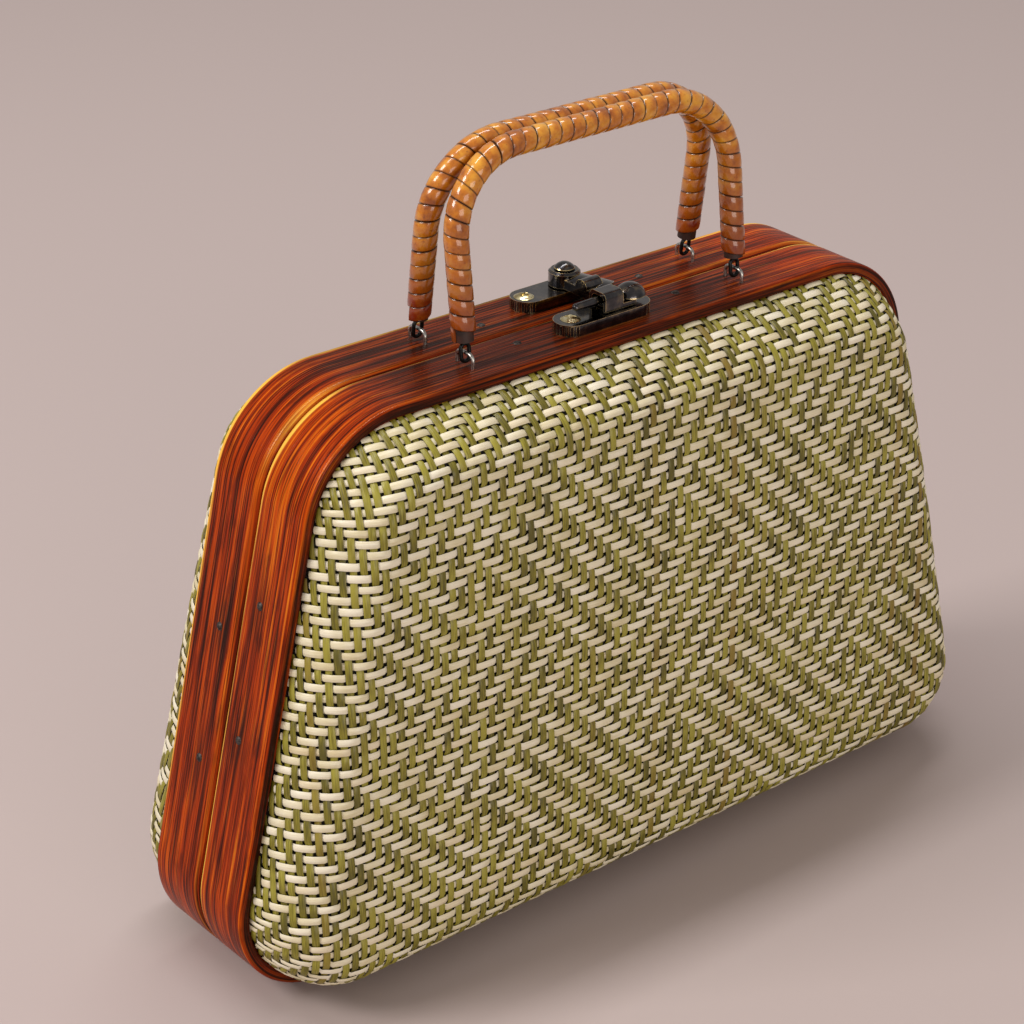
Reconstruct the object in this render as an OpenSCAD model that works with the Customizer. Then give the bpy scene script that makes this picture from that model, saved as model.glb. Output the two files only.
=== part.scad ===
// Rigid clutch purse: two bent bamboo hoops hinged along the base, a domed woven
// panel in each, two cane-wrapped handles and a swing-hook latch on top.
// X runs along the purse, the front faces -Y, Z is up and Z = 0 is the base.

/* [Case] */
// Height of the hoops, base to top
case_height = 150; // [140:1:165]
// Width at the base, where the straight side lines meet it
base_width = 252; // [236:1:270]
// Width at the top, where the straight side lines meet it
top_width = 187; // [176:1:204]
// Outer radius of the two base corners
base_corner = 25; // [24:0.5:32]
// Outer radius of the two top corners
top_corner = 29; // [26:0.5:34]
// Distance from the seam to the outer edge of one hoop
hoop_depth = 18.3; // [17:0.1:20]
// Thickness of the bent bamboo
hoop_thick = 3; // [2.8:0.1:3.4]
// Gap between the two hoops along the seam
seam_gap = 0.4; // [0.3:0.1:0.6]
// Rounding of each hoop's outer edge along the seam
seam_round = 2; // [1.9:0.1:2.2]
// Rounding of each hoop's outer edge beside the panel
face_round = 0.8; // [0.4:0.1:1.2]

/* [Woven panels] */
// How far a panel stands out beyond its hoop near the base
bulge_base = 20; // [15:0.5:22]
// How far a panel stands out beyond its hoop near the top
bulge_top = 14; // [11:0.5:17]
// Extra rise in the middle of a panel
panel_crown = 2; // [0:0.5:4]
// Width of the rounded edge of a panel
panel_edge = 13; // [12:0.5:16]
// How late the rounded edge slackens on its way up, from full at the base to slack at the top
edge_slack = 3; // [1:0.5:6]
// Thickness of the woven mat
panel_thick = 1.1; // [0.9:0.1:1.4]
// Height of the twill's diagonal ridges
ridge_height = 0.6; // [0:0.1:0.7]
// Columns of the mat's middle, half a ridge each
ridge_columns = 24; // [20:2:28]
// Rows of the mat's middle between the corners, half a ridge each
ridge_rows = 14; // [10:2:16]
// Half ridges from the middle of a diamond of straight twill to its corner
diamond_size = 4; // [3:1:8]
// Row of corners where four diamonds meet
diamond_row = 8; // [0:1:8]
// How much of the mat is tucked in behind the hoop
tuck_depth = 8; // [6:0.5:9]
// Room beside the mat in the inner hoop's rabbet
panel_fit = 0.3; // [0.3:0.05:0.4]
// Thickness of the cloth lining
lining_thick = 0.5; // [0.4:0.1:0.7]

/* [Inner hoops and nails] */
// Thickness of the inner hoop that traps the mat
inner_thick = 3.2; // [2.8:0.1:4]
// Distance from the seam to the inner hoop
inner_set_back = 2.5; // [2:0.1:4]
// Distance of the inner hoop's other edge from the edge of the outer hoop
inner_front_gap = 2.3; // [1.5:0.1:3]
// Distance of the nails from the seam
nail_depth = 7; // [5:0.5:8.5]
// Distance of the top nails from the middle
nail_x = 26; // [22:1:32]
// Height of the lower side nails, on average
nail_low = 64; // [55:1:75]
// Height of the upper side nails, on average
nail_high = 98; // [85:1:110]
// How much the front side nails stand over the average, and the back ones under it
nail_stagger = 5.3; // [0:0.1:6]
// Radius of a nail's head
nail_head = 1.1; // [0.8:0.1:1.4]
// Rise of a nail's head
nail_rise = 0.5; // [0.3:0.1:0.7]
// Radius of a nail's shank
nail_shank = 0.5; // [0.4:0.1:0.6]

/* [Hinges] */
// Distance between the two hinges
hinge_spacing = 120; // [90:1:150]
// Length of a hinge
hinge_length = 21; // [18:1:27]
// Distance from the hinge axis to the far edge of a leaf
leaf_reach = 9; // [8:0.5:12]
// Thickness of a leaf
leaf_thick = 0.8; // [0.6:0.1:0.9]
// Outer radius of the knuckles
knuckle_radius = 1; // [0.95:0.05:1.05]
// Radius of the hinge pin
pin_radius = 0.5; // [0.4:0.05:0.6]
// Radial clearance of the pin in the moving knuckle
pin_clearance = 0.04; // [0.02:0.01:0.08]
// Room around the knuckles and between them
knuckle_gap = 0.35; // [0.3:0.05:0.4]
// Radius of the countersunk head of a hinge screw
hinge_screw_head = 1.3; // [1.1:0.1:1.6]
// Radius of a hinge screw's shank
hinge_screw_shank = 0.6; // [0.5:0.1:0.7]

/* [Handles] */
// Distance between the two legs of a handle
handle_span = 88; // [80:1:96]
// Height of the grip's centre line over the pivots
handle_rise = 47; // [42:1:58]
// Radius of the bends, on the centre line
handle_bend = 20; // [15:1:24]
// Radius of the rod inside the cane
core_radius = 2.4; // [2.2:0.1:3]
// Thickness of the cane strip
cane_thick = 0.75; // [0.6:0.05:1]
// Width of the cane strip
cane_width = 6.4; // [5:0.1:6.6]
// Turns of cane on one handle
cane_turns = 18; // [14:1:20]
// Gap between the two handles where they lean together
handle_gap = 0.3; // [0.3:0.1:1]

/* [Staples and eyes] */
// Radius of the staple wire
staple_wire = 0.5; // [0.4:0.05:0.55]
// Distance between the two legs of a staple
staple_gap = 6.1; // [6:0.1:6.6]
// Bend radius of a staple, on the centre line
staple_bend = 1.6; // [1.5:0.05:1.7]
// Height of the staple's bar over the hoop
staple_height = 3.2; // [3.1:0.1:4]
// Radius of the eye wire
eye_wire = 0.5; // [0.4:0.05:0.55]
// Half length of the eye's loop, on the centre line
eye_half_length = 2.2; // [2.15:0.05:2.25]
// Half width of the eye's loop, on the centre line
eye_half_width = 1.25; // [1.2:0.05:1.4]
// Room between the eye's loop and the foot of the rod
eye_room = 0.2; // [0.1:0.05:0.4]
// Length of the eye's shank inside the rod
eye_shank = 8; // [6:0.5:12]

/* [Latch] */
// Sideways place of the latch pivot
latch_x = 2.5; // [-4:0.5:6]
// Distance of both plates' centre lines from the seam
plate_y = 9; // [8.5:0.1:9.5]
// Width of a plate, which is also the diameter of its round ends
plate_width = 9; // [8.5:0.1:9.5]
// Thickness of a plate
plate_thick = 3; // [2.4:0.1:3.6]
// Distance of the pivot plate's left end from the pivot
pivot_plate_left = 16.5; // [16:0.1:19]
// Distance of the pivot plate's right end from the pivot
pivot_plate_right = 6; // [5.5:0.1:8]
// Distance of the keeper plate's left end from the pivot
keeper_left = 17.6; // [17:0.1:19]
// Distance of the keeper plate's right end from the pivot
keeper_right = 11.4; // [11:0.1:14]
// Distance of the stud from the pivot, sideways
stud_x = 6.2; // [6:0.1:6.6]
// Radius of the stud's dome
stud_head = 4; // [3.7:0.1:4.2]
// Rise of the stud's dome
stud_rise = 3; // [2.4:0.1:3.4]
// Radius of the stud's neck
stud_neck = 1.5; // [1.3:0.1:1.6]
// Height of the stud's neck
stud_neck_height = 1.9; // [1.8:0.1:2.2]
// Radius of the arm's hub
hub_radius = 4.1; // [3.8:0.1:4.4]
// Height of the arm's hub
hub_height = 4; // [3.4:0.1:4.4]
// Bevel round the top of the hub
hub_bevel = 0.6; // [0.3:0.1:0.9]
// Width of the broad bar that leaves the hub
bar_width = 6.8; // [6:0.1:7.4]
// Length of the bar, from the pivot to the centre of its round end
bar_length = 10.6; // [9:0.1:10.8]
// Thickness of the bar
bar_thick = 3.2; // [2.6:0.1:3.4]
// Rise of the bar's crowned top
bar_crown = 0.9; // [0.4:0.1:1.2]
// Turn of the bar towards the stud
bar_lean = 18; // [10:1:20]
// Thickness of the arm's stem
arm_thick = 2.4; // [2:0.1:2.8]
// Width of the arm's stem
stem_width = 5.4; // [4.6:0.1:5.8]
// Radius of the hump across the stem
hump_radius = 2.2; // [1.8:0.1:2.5]
// Radius of the pivot rivet
rivet_radius = 1.5; // [1.2:0.1:1.8]
// Radial clearance of the rivet in the hub
rivet_clearance = 0.05; // [0.02:0.01:0.09]
// Radius of the rivet's dome
rivet_head = 2.7; // [2.2:0.1:3]
// Rise of the rivet's dome
rivet_rise = 1.5; // [1:0.1:1.8]
// Height of the hook's jaw over its underside
jaw_height = 4.8; // [4.4:0.1:5.4]
// Length of the jaw along the purse
jaw_length = 5.8; // [5.2:0.1:6]
// Radius of the thumb peg
peg_radius = 1.2; // [1:0.05:1.25]
// Length of the thumb peg beyond the jaw
peg_length = 7; // [5:0.5:8]
// Radius of a latch screw's head
screw_head = 2.6; // [2.2:0.1:2.8]
// Rise of a latch screw's head
screw_rise = 0.9; // [0.6:0.1:0.9]
// Radius of a latch screw's shank
screw_shank = 1.2; // [0.9:0.1:1.4]
// Distance of the plate screws from the pivot, sideways
screw_inset = 13.2; // [13:0.1:13.4]
// Distance of the sunk screw under the hub from the pivot
sunk_screw_x = 3.6; // [3.5:0.1:4]
// Width of the finger that catches behind the stud's neck
finger_width = 1.3; // [1:0.1:1.5]
// How far the jaw reaches back from the stud's middle
jaw_reach = 3; // [2.6:0.1:3.2]
// Room between the jaw and the stud's dome
jaw_room = 1; // [0.6:0.1:1.2]
// Rounding of the jaw's top edges
jaw_round = 1.6; // [1.2:0.1:1.8]
// Wall left round the hollow in the jaw's end
jaw_wall = 0.9; // [0.7:0.1:1.1]
// Depth of the hollow in the jaw's end
jaw_pocket = 2; // [1:0.1:2.5]
// Radius of the thumb peg's tip
peg_tip = 0.95; // [0.8:0.05:1]
// Radius of the flutes round the plate ends
flute_radius = 0.35; // [0.2:0.05:0.4]
// Room under and in front of the moving arm
arm_gap = 0.35; // [0.3:0.05:0.4]

/* [Hidden] */
$fn = 48;

// Outline of the hoops: lean of the sides and corner centres
side_lean = atan2((base_width - top_width) / 2, case_height);
base_x = base_width / 2 - base_corner * (tan(side_lean) + 1 / cos(side_lean));
top_y = case_height - top_corner;
top_x = base_width / 2 - top_y * tan(side_lean) - top_corner / cos(side_lean);

// Depths from the seam and steps inward from the hoop's outer face
seam_edge = seam_gap / 2;
tuck_end = hoop_depth - tuck_depth;
rabbet = panel_thick + panel_fit;
inner_face = hoop_thick + inner_thick;
inner_front = hoop_depth - inner_front_gap;

// Bamboo left under a blind hole, and the depths of such holes and of the nails
skin = 0.2;
blind_depth = hoop_thick - skin;
nail_length = inner_face - 2 * skin;

// Steps round a corner of the outline, round a hoop's edge and round a panel's edge
corner_steps = 8;
round_steps = 4;
outer_angles = [for (a = [0:18:90]) a];
inner_angles = [for (a = [0:30:90]) a];

// Columns and rows of the level middle, on the mat and on the plain lining
mat_cells = [ridge_columns, ridge_rows];
lining_cells = [8, 4];

// Hinge knuckles: thirds of the hinge, with the moving one in the middle
leaf_edge = knuckle_radius + knuckle_gap;
knuckle_third = hinge_length / 3;
hinge_screw_x = knuckle_third;
hinge_screw_y = (leaf_edge + leaf_reach) / 2;

// Handle: the pivot lies on the staple's bar, in the middle of the hoop
pivot_y = (seam_edge + hoop_depth) / 2;
pivot_z = case_height + staple_height;
handle_x = handle_span / 2;
leg_end = eye_half_length + eye_wire + eye_room;
cane_steps = 14;
cane_inside = core_radius / cos(180 / cane_steps);
handle_outer = cane_inside + cane_thick;
handle_lean = asin((pivot_y - handle_outer - handle_gap / 2) / handle_rise);
leg_length = handle_rise - handle_bend - leg_end;
bend_length = handle_bend * PI / 2;
grip_length = handle_span - 2 * handle_bend;
cane_start = cane_width / 2;
cane_flat = cane_width * 0.35;
cane_pitch = (2 * (leg_length + bend_length) + grip_length - cane_width) / cane_turns;
cane_rings = cane_turns * cane_steps;

// Latch: sideways and forward distances are measured from the pivot
plate_top = case_height + plate_thick;
keeper_y = 2 * plate_y;
arm_under = arm_gap;
arm_top = arm_under + arm_thick;
hub_top = arm_under + hub_height;
barrel_radius = (bar_width * bar_width / 4 + bar_crown * bar_crown) / (2 * bar_crown);
finger_inside = keeper_y + stud_neck + arm_gap;
finger_thick = stud_neck_height - 2 * arm_gap;
finger_end = stud_x - stud_neck / 2;
jaw_front = finger_inside + finger_width;
jaw_back = keeper_y - jaw_reach;
jaw_right = stud_x - stud_head - jaw_room;
jaw_left = jaw_right - jaw_length;
peg_y = (jaw_back + jaw_front) / 2;
peg_z = arm_under + jaw_height / 2;

// Cutters reach this far past the faces that they open
past = 1;

// Nail places on a half whose side nails are raised by a shift: sideways, height and lean of the nail
function nail_spots(shift) =
    let (low = nail_low + shift, high = nail_high + shift)
    [
        [-nail_x, case_height, 0], [nail_x, case_height, 0],
        [-side_x(low), low, side_lean - 90], [side_x(low), low, 90 - side_lean],
        [-side_x(high), high, side_lean - 90], [side_x(high), high, 90 - side_lean]
    ];

function side_x(height) = base_width / 2 - height * tan(side_lean);

// Turns the outline's plane upright, with its depth running to the front
module to_front() rotate([90, 0, 0]) children();

// Swaps front and back
module to_back() mirror([0, 1, 0]) children();

// The case outline, drawn in by a step and cut into the given steps along its straights
function arc_points(x, y, radius, from, to) =
    [for (i = [0:corner_steps]) let (a = from + (to - from) * i / corner_steps)
        [x + radius * cos(a), y + radius * sin(a)]];

function points_between(p, q, steps) = steps < 2 ? [] : [for (i = [1:steps - 1]) p + (q - p) * i / steps];

function ring(inset, base_cuts, side_cuts, top_cuts) =
    let (
        br = arc_points(base_x, base_corner, base_corner - inset, -90, side_lean),
        tr = arc_points(top_x, top_y, top_corner - inset, side_lean, 90),
        tl = arc_points(-top_x, top_y, top_corner - inset, 90, 180 - side_lean),
        bl = arc_points(-base_x, base_corner, base_corner - inset, 180 - side_lean, 270)
    )
    concat(
        br, points_between(br[corner_steps], tr[0], side_cuts),
        tr, points_between(tr[corner_steps], tl[0], top_cuts),
        tl, points_between(tl[corner_steps], bl[0], side_cuts),
        bl, points_between(bl[corner_steps], br[0], base_cuts)
    );

// Quarter circle of a section's outer edge, which starts at an angle and turns back by 90
function quarter_round(step, depth, radius, from) =
    [for (i = [0:round_steps]) let (a = from - 90 * i / round_steps)
        [step - radius * sin(a), depth + radius * cos(a)]];

// Triangles between ring k and the ring after it
function wall(k, next, count) =
    [for (i = [0:count - 1])
        let (a = k * count, b = next * count, j = (i + 1) % count)
        each [[a + i, b + i, b + j], [a + i, b + j, a + j]]];

// Sweeps a section round the case
module sweep_section(section) {
    rings = [for (c = section) [for (p = ring(c[0], 1, 1, 1)) [p.x, p.y, c[1]]]];
    count = len(rings[0]);
    total = len(rings);
    polyhedron([for (r = rings) each r],
        [for (k = [0:total - 1]) each wall(k, (k + 1) % total, count)]);
}

// Round cap of a given radius and rise, standing on Z = 0
module dome(radius, rise) {
    ball = (radius * radius + rise * rise) / (2 * rise);
    intersection() {
        translate([0, 0, rise - ball]) sphere(ball);
        cylinder(r = radius, h = rise);
    }
}

// Bamboo hoops

// Section of a hoop: step inward from the outline, and distance from the seam
hoop_section = concat(
    [[hoop_thick, seam_edge]],
    quarter_round(seam_round, seam_edge + seam_round, seam_round, 180),
    quarter_round(face_round, hoop_depth - face_round, face_round, 90),
    [[hoop_thick, hoop_depth]]
);

// Everything that is let into a hoop, on the front half, with its side nails raised by a shift
module hoop_cuts(shift) {
    for (side = [-1, 1]) {
        translate([side * hinge_spacing / 2, 0, 0]) {
            translate([-hinge_length / 2 - knuckle_gap, 0, knuckle_radius]) rotate([0, 90, 0])
                cylinder(r = leaf_edge, h = hinge_length + 2 * knuckle_gap);
            translate([-hinge_length / 2, -leaf_reach, -past])
                cube([hinge_length, leaf_reach, past + leaf_thick]);
        }
        for (leg = [-1, 1])
            translate([side * handle_x, -pivot_y + leg * staple_gap / 2, case_height - blind_depth])
                cylinder(r = staple_wire, h = blind_depth + past);
    }
    for (i = [1:4]) at_hinge_screw(i) cylinder(r = hinge_screw_shank, h = blind_depth);
    for (i = [1:6]) at_nail(i, shift) nail_hole();
}

module screw_hole(x, radius) {
    translate([x, 0, case_height - blind_depth]) cylinder(r = radius, h = blind_depth + past);
}

module front_hoop() color([0.42, 0.17, 0.06]) difference() {
    to_front() sweep_section(hoop_section);
    hoop_cuts(nail_stagger);
    translate([latch_x, -plate_y, 0]) screw_hole(-screw_inset, screw_shank);
}

module back_hoop() color([0.42, 0.17, 0.06]) difference() {
    to_back() to_front() sweep_section(hoop_section);
    to_back() hoop_cuts(-nail_stagger);
    translate([latch_x, plate_y, 0]) {
        screw_hole(-screw_inset, screw_shank);
        screw_hole(sunk_screw_x, hinge_screw_shank);
    }
}

// Inner hoop, with a rabbet that traps the edge of the woven mat
inner_section = [
    [inner_face, inner_set_back], [hoop_thick, inner_set_back], [hoop_thick, tuck_end - panel_fit],
    [hoop_thick + rabbet, tuck_end - panel_fit], [hoop_thick + rabbet, inner_front],
    [inner_face, inner_front]
];

module inner_hoop(shift) difference() {
    to_front() sweep_section(inner_section);
    for (i = [1:6]) at_nail(i, shift) nail_hole();
}

module front_inner_hoop() color([0.5, 0.3, 0.14]) inner_hoop(nail_stagger);
module back_inner_hoop() color([0.5, 0.3, 0.14]) to_back() inner_hoop(-nail_stagger);

// Woven panels and linings: domed shells made of rings that follow the outline

function bulge(y) = bulge_base + (bulge_top - bulge_base) * y / case_height;

// Rings of a shell whose face lies a distance below the outer face of the mat
function panel_ring(inset, cells) = ring(inset, cells[0], cells[1], cells[0]);
function edge_ring(below, depth, cells) =
    [for (p = panel_ring(hoop_thick + below, cells)) [p.x, p.y, depth]];
function round_ring(below, a, cells) =
    let (
        full = panel_ring(hoop_thick + below + (panel_edge - below) * (1 - cos(a)), cells),
        slack = panel_ring(hoop_thick + below + (panel_edge - below) * a / 90, cells)
    )
    [for (i = [0:len(full) - 1])
        let (p = full[i] + (slack[i] - full[i]) * pow(full[i].y / case_height, edge_slack))
        [p.x, p.y, hoop_depth + (bulge(p.y) - below) * sin(a)]];

// Ring places of the four corners' first points, and of a row's right end
function corner_starts(cells) =
    let (s = cells[1] + corner_steps, t = s + corner_steps + cells[0])
    [0, s, t, t + s];
function right_end(r, cells) = r == 0 ? 0 : r == cells[1] + 2 ? corner_starts(cells)[1] + corner_steps
    : corner_steps + r - 1;

// Points of the level middle inside its ring, each row between two points at the same height
function middle_points(below, ridge, cells) =
    let (
        edge = panel_ring(hoop_thick + panel_edge, cells),
        half = case_height / 2 - hoop_thick - panel_edge
    )
    [for (r = [1:cells[1] + 1]) for (c = [1:cells[0] - 1])
        let (
            p = edge[right_end(r, cells)],
            u = 2 * c / cells[0] - 1,
            share = max(abs(u), abs(p.y - case_height / 2) / half)
        )
        [p.x * u, p.y, hoop_depth + bulge(p.y) - below + panel_crown * (1 - share * share)
            - (r + c) % 2 * ridge]];

// Place in the points' list of the middle's point in a row and a column, for a ring and inside points
// that start at given places
function middle_place(r, c, ring_from, inside_from, cells) =
    let (starts = corner_starts(cells), last = cells[1] + 2)
    r == 0 ? ring_from + (c == cells[0] ? 0 : starts[3] + corner_steps + c)
    : r == last ? ring_from + starts[2] - c
    : c == cells[0] ? ring_from + right_end(r, cells)
    : c == 0 ? ring_from + starts[3] + 1 - r
    : inside_from + (r - 1) * (cells[0] - 1) + c - 1;

// Whether the twill of a cell's diamond rises to the right; diamonds side by side take turns
function rises(r, c, cells) =
    let (across = c - cells[0] / 2 - diamond_size, up = r - diamond_row)
    (floor((across + up) / diamond_size / 2) + floor((across - up) / diamond_size / 2)) % 2 == 0;

// Triangles of the level middle, whose cells are split along the twill
function middle_faces(ring_from, inside_from, cells) = concat(
    [for (r = [0:cells[1] + 1]) for (c = [0:cells[0] - 1])
        let (
            p = middle_place(r, c, ring_from, inside_from, cells),
            q = middle_place(r, c + 1, ring_from, inside_from, cells),
            v = middle_place(r + 1, c, ring_from, inside_from, cells),
            w = middle_place(r + 1, c + 1, ring_from, inside_from, cells)
        )
        each rises(r, c, cells) ? [[p, v, w], [p, w, q]] : [[p, v, q], [v, w, q]]],
    [for (s = corner_starts(cells)) for (i = [1:corner_steps - 1])
        [ring_from + s, ring_from + s + i + 1, ring_from + s + i]]
);

// Closed shell between two faces, with its rim at a given depth and ridges on its outer face
module dome_shell(below_out, below_in, rim_depth, angles_out, ridge, cells) {
    rings = concat(
        [edge_ring(below_in, rim_depth, cells), edge_ring(below_out, rim_depth, cells)],
        [for (a = angles_out) round_ring(below_out, a, cells)]
    );
    inside = [for (a = inner_angles) round_ring(below_in, a, cells)];
    count = len(rings[0]);
    outer = len(rings);
    total = outer + len(inside);
    middle_out = middle_points(below_out, ridge, cells);
    middle_in = middle_points(below_in, 0, cells);
    flipped = [for (f = concat(
        wall(0, outer, count),
        [for (k = [outer:total - 2]) each wall(k, k + 1, count)],
        middle_faces((total - 1) * count, total * count + len(middle_out), cells)
    )) [f[0], f[2], f[1]]];
    polyhedron(
        concat([for (r = concat(rings, inside)) each r], middle_out, middle_in),
        concat(
            [for (k = [0:outer - 2]) each wall(k, k + 1, count)],
            middle_faces((outer - 1) * count, total * count, cells),
            flipped
        )
    );
}

module woven_panel() to_front()
    dome_shell(0, panel_thick, tuck_end, outer_angles, ridge_height, mat_cells);

module lining() to_front()
    dome_shell(rabbet, rabbet + lining_thick, inner_front, inner_angles, 0, lining_cells);

module front_woven_panel() color([0.72, 0.69, 0.42]) woven_panel();
module back_woven_panel() color([0.72, 0.69, 0.42]) to_back() woven_panel();
module front_lining() color([0.1, 0.08, 0.07]) lining();
module back_lining() color([0.1, 0.08, 0.07]) to_back() lining();

// Nails through the hoop into the inner hoop

module at_nail(i, shift) {
    spot = nail_spots(shift)[i - 1];
    translate([spot[0], -nail_depth, spot[1]]) rotate([0, spot[2], 0]) children();
}

module nail_hole() translate([0, 0, -nail_length]) cylinder(r = nail_shank, h = nail_length + past);

module nail() color([0.24, 0.22, 0.21]) {
    dome(nail_head, nail_rise);
    translate([0, 0, -nail_length]) cylinder(r = nail_shank, h = nail_length);
}

module front_nail(i) at_nail(i, nail_stagger) nail();
module back_nail(i) to_back() at_nail(i, -nail_stagger) nail();

// Butt hinges, let in flush with the base

module at_hinge(i) translate([(i * 2 - 3) * hinge_spacing / 2, 0, 0]) children();

module at_hinge_screw(i) {
    at_hinge(ceil(i / 2)) translate([(i % 2 * 2 - 1) * hinge_screw_x, -hinge_screw_y, 0]) children();
}

module knuckle(from, to) {
    translate([from, 0, knuckle_radius]) rotate([0, 90, 0])
        cylinder(r = knuckle_radius, h = to - from);
    translate([from, -leaf_edge, 0]) cube([to - from, leaf_edge, leaf_thick]);
}

module pin_bore(radius) {
    translate([-hinge_length / 2 - past, 0, knuckle_radius]) rotate([0, 90, 0])
        cylinder(r = radius, h = hinge_length + 2 * past);
}

module leaf_plate() difference() {
    translate([-hinge_length / 2, -leaf_reach, 0])
        cube([hinge_length, leaf_reach - leaf_edge, leaf_thick]);
    for (side = [-1, 1]) translate([side * hinge_screw_x, -hinge_screw_y, 0]) sunk_screw(blind_depth);
}

// Countersunk screw with its head at Z = 0 and its shank upward
module sunk_screw(length) {
    cylinder(r1 = hinge_screw_head, r2 = hinge_screw_shank, h = hinge_screw_head - hinge_screw_shank);
    cylinder(r = hinge_screw_shank, h = length);
}

module front_hinge_leaf(i) color([0.5, 0.38, 0.18]) at_hinge(i) {
    leaf_plate();
    difference() {
        knuckle(-knuckle_third / 2 + knuckle_gap / 2, knuckle_third / 2 - knuckle_gap / 2);
        pin_bore(pin_radius + pin_clearance);
    }
}

module back_hinge_leaf(i) color([0.5, 0.38, 0.18]) at_hinge(i) to_back() {
    leaf_plate();
    for (side = [0, 1]) mirror([side, 0, 0]) difference() {
        knuckle(knuckle_third / 2 + knuckle_gap / 2, hinge_length / 2);
        pin_bore(pin_radius);
    }
}

module hinge_pin(i) color([0.55, 0.45, 0.25]) at_hinge(i)
    translate([-hinge_length / 2, 0, knuckle_radius]) rotate([0, 90, 0])
        cylinder(r = pin_radius, h = hinge_length);

module front_hinge_screw(i) color([0.6, 0.48, 0.25]) at_hinge_screw(i) sunk_screw(blind_depth);
module back_hinge_screw(i) color([0.6, 0.48, 0.25]) to_back() at_hinge_screw(i) sunk_screw(blind_depth);

// Staples that carry the handles, bent from wire and driven into the hoop

module staple() color([0.75, 0.75, 0.73]) rotate([0, 0, 90]) {
    for (side = [0, 1]) mirror([side, 0, 0]) {
        translate([staple_gap / 2, 0, -blind_depth])
            cylinder(r = staple_wire, h = blind_depth + staple_height - staple_bend);
        translate([staple_gap / 2 - staple_bend, 0, staple_height - staple_bend]) rotate([90, 0, 0])
            rotate_extrude(angle = 90) translate([staple_bend, 0]) circle(staple_wire);
    }
    translate([staple_bend - staple_gap / 2, 0, staple_height]) rotate([0, 90, 0])
        cylinder(r = staple_wire, h = staple_gap - 2 * staple_bend);
}

module front_staple(i) translate([(i * 2 - 3) * handle_x, -pivot_y, case_height]) staple();
module back_staple(i) to_back() front_staple(i);

// Handles: a bent rod, its cane wrap and a wire eye at each foot

module at_front_handle() translate([0, -pivot_y, pivot_z]) rotate([-handle_lean, 0, 0]) children();

module handle_core() color([0.35, 0.2, 0.1]) difference() {
    union() {
        for (side = [0, 1]) mirror([side, 0, 0]) {
            translate([handle_x, 0, leg_end]) cylinder(r = core_radius, h = leg_length);
            translate([handle_x - handle_bend, 0, handle_rise - handle_bend]) rotate([90, 0, 0])
                rotate_extrude(angle = 90) translate([handle_bend, 0]) circle(core_radius);
        }
        translate([-grip_length / 2, 0, handle_rise]) rotate([0, 90, 0])
            cylinder(r = core_radius, h = grip_length);
    }
    for (side = [-1, 1]) translate([side * handle_x, 0, 0]) cylinder(r = eye_wire, h = leg_end + eye_shank);
}

module front_handle_core() at_front_handle() handle_core();
module back_handle_core() to_back() at_front_handle() handle_core();

// Centre line of the handle at a length along it: sideways, height and heading
function handle_line(s) =
    s < leg_length ? [-handle_x, leg_end + s, 90]
    : s < leg_length + bend_length ?
        let (a = 180 - (s - leg_length) / bend_length * 90)
        [-handle_x + handle_bend * (1 + cos(a)), handle_rise - handle_bend * (1 - sin(a)), a - 90]
    : s < leg_length + bend_length + grip_length ?
        [-handle_x + handle_bend + s - leg_length - bend_length, handle_rise, 0]
    : let (q = handle_line(2 * (leg_length + bend_length) + grip_length - s)) [-q[0], q[1], -q[2]];

// Section of the strip: along the handle, and out from the rod
cane_section = [
    [-cane_width / 2, cane_thick / 2], [-cane_flat, cane_thick], [cane_flat, cane_thick],
    [cane_width / 2, cane_thick / 2], [cane_flat, 0], [-cane_flat, 0]
];

function cane_point(k, c) =
    let (
        turn = 360 * k / cane_steps,
        q = handle_line(cane_start + cane_pitch * k / cane_steps + c[0]),
        out = cane_inside + c[1]
    )
    [q[0] + out * cos(turn) * cos(q[2] + 90), out * sin(turn), q[1] + out * cos(turn) * sin(q[2] + 90)];

// Gap between each turn's edge and the next turn's, point by point
cane_gaps = [for (k = [0:cane_rings - cane_steps])
    norm(cane_point(k, cane_section[3]) - cane_point(k + cane_steps, cane_section[0]))];
echo(str("least gap of the cane wrap to itself: ", min(cane_gaps), " mm"));

module cane_wrap() color([0.72, 0.4, 0.13]) {
    sides = len(cane_section);
    points = [for (k = [0:cane_rings]) for (c = cane_section) cane_point(k, c)];
    walls = [for (k = [0:cane_rings - 1]) for (i = [0:sides - 1])
        let (a = k * sides, b = a + sides, j = (i + 1) % sides)
        each [[a + i, a + j, b + j], [a + i, b + j, b + i]]];
    last = cane_rings * sides;
    ends = [for (i = [1:sides - 2]) each [[0, i + 1, i], [last, last + i, last + i + 1]]];
    polyhedron(points, concat(walls, ends));
}

module front_cane_wrap() at_front_handle() cane_wrap();
module back_cane_wrap() to_back() at_front_handle() cane_wrap();

// Eye: a long wire loop round the staple's bar, with a shank up inside the rod
module eye() color([0.08, 0.08, 0.08]) {
    straight = eye_half_length - eye_half_width;
    for (side = [0, 1]) {
        mirror([side, 0, 0]) translate([eye_half_width, 0, -straight])
            cylinder(r = eye_wire, h = 2 * straight);
        mirror([0, 0, side]) translate([0, 0, straight]) rotate([90, 0, 0])
            rotate_extrude(angle = 180) translate([eye_half_width, 0]) circle(eye_wire);
    }
    translate([0, 0, eye_half_length]) cylinder(r = eye_wire, h = leg_end + eye_shank - eye_half_length);
}

module front_eye(i) at_front_handle() translate([(i * 2 - 3) * handle_x, 0, 0]) eye();
module back_eye(i) to_back() front_eye(i);

// Latch: a hook that swings on the back plate and catches a stud on the front plate

module at_pivot() translate([latch_x, plate_y, plate_top]) children();

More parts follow.
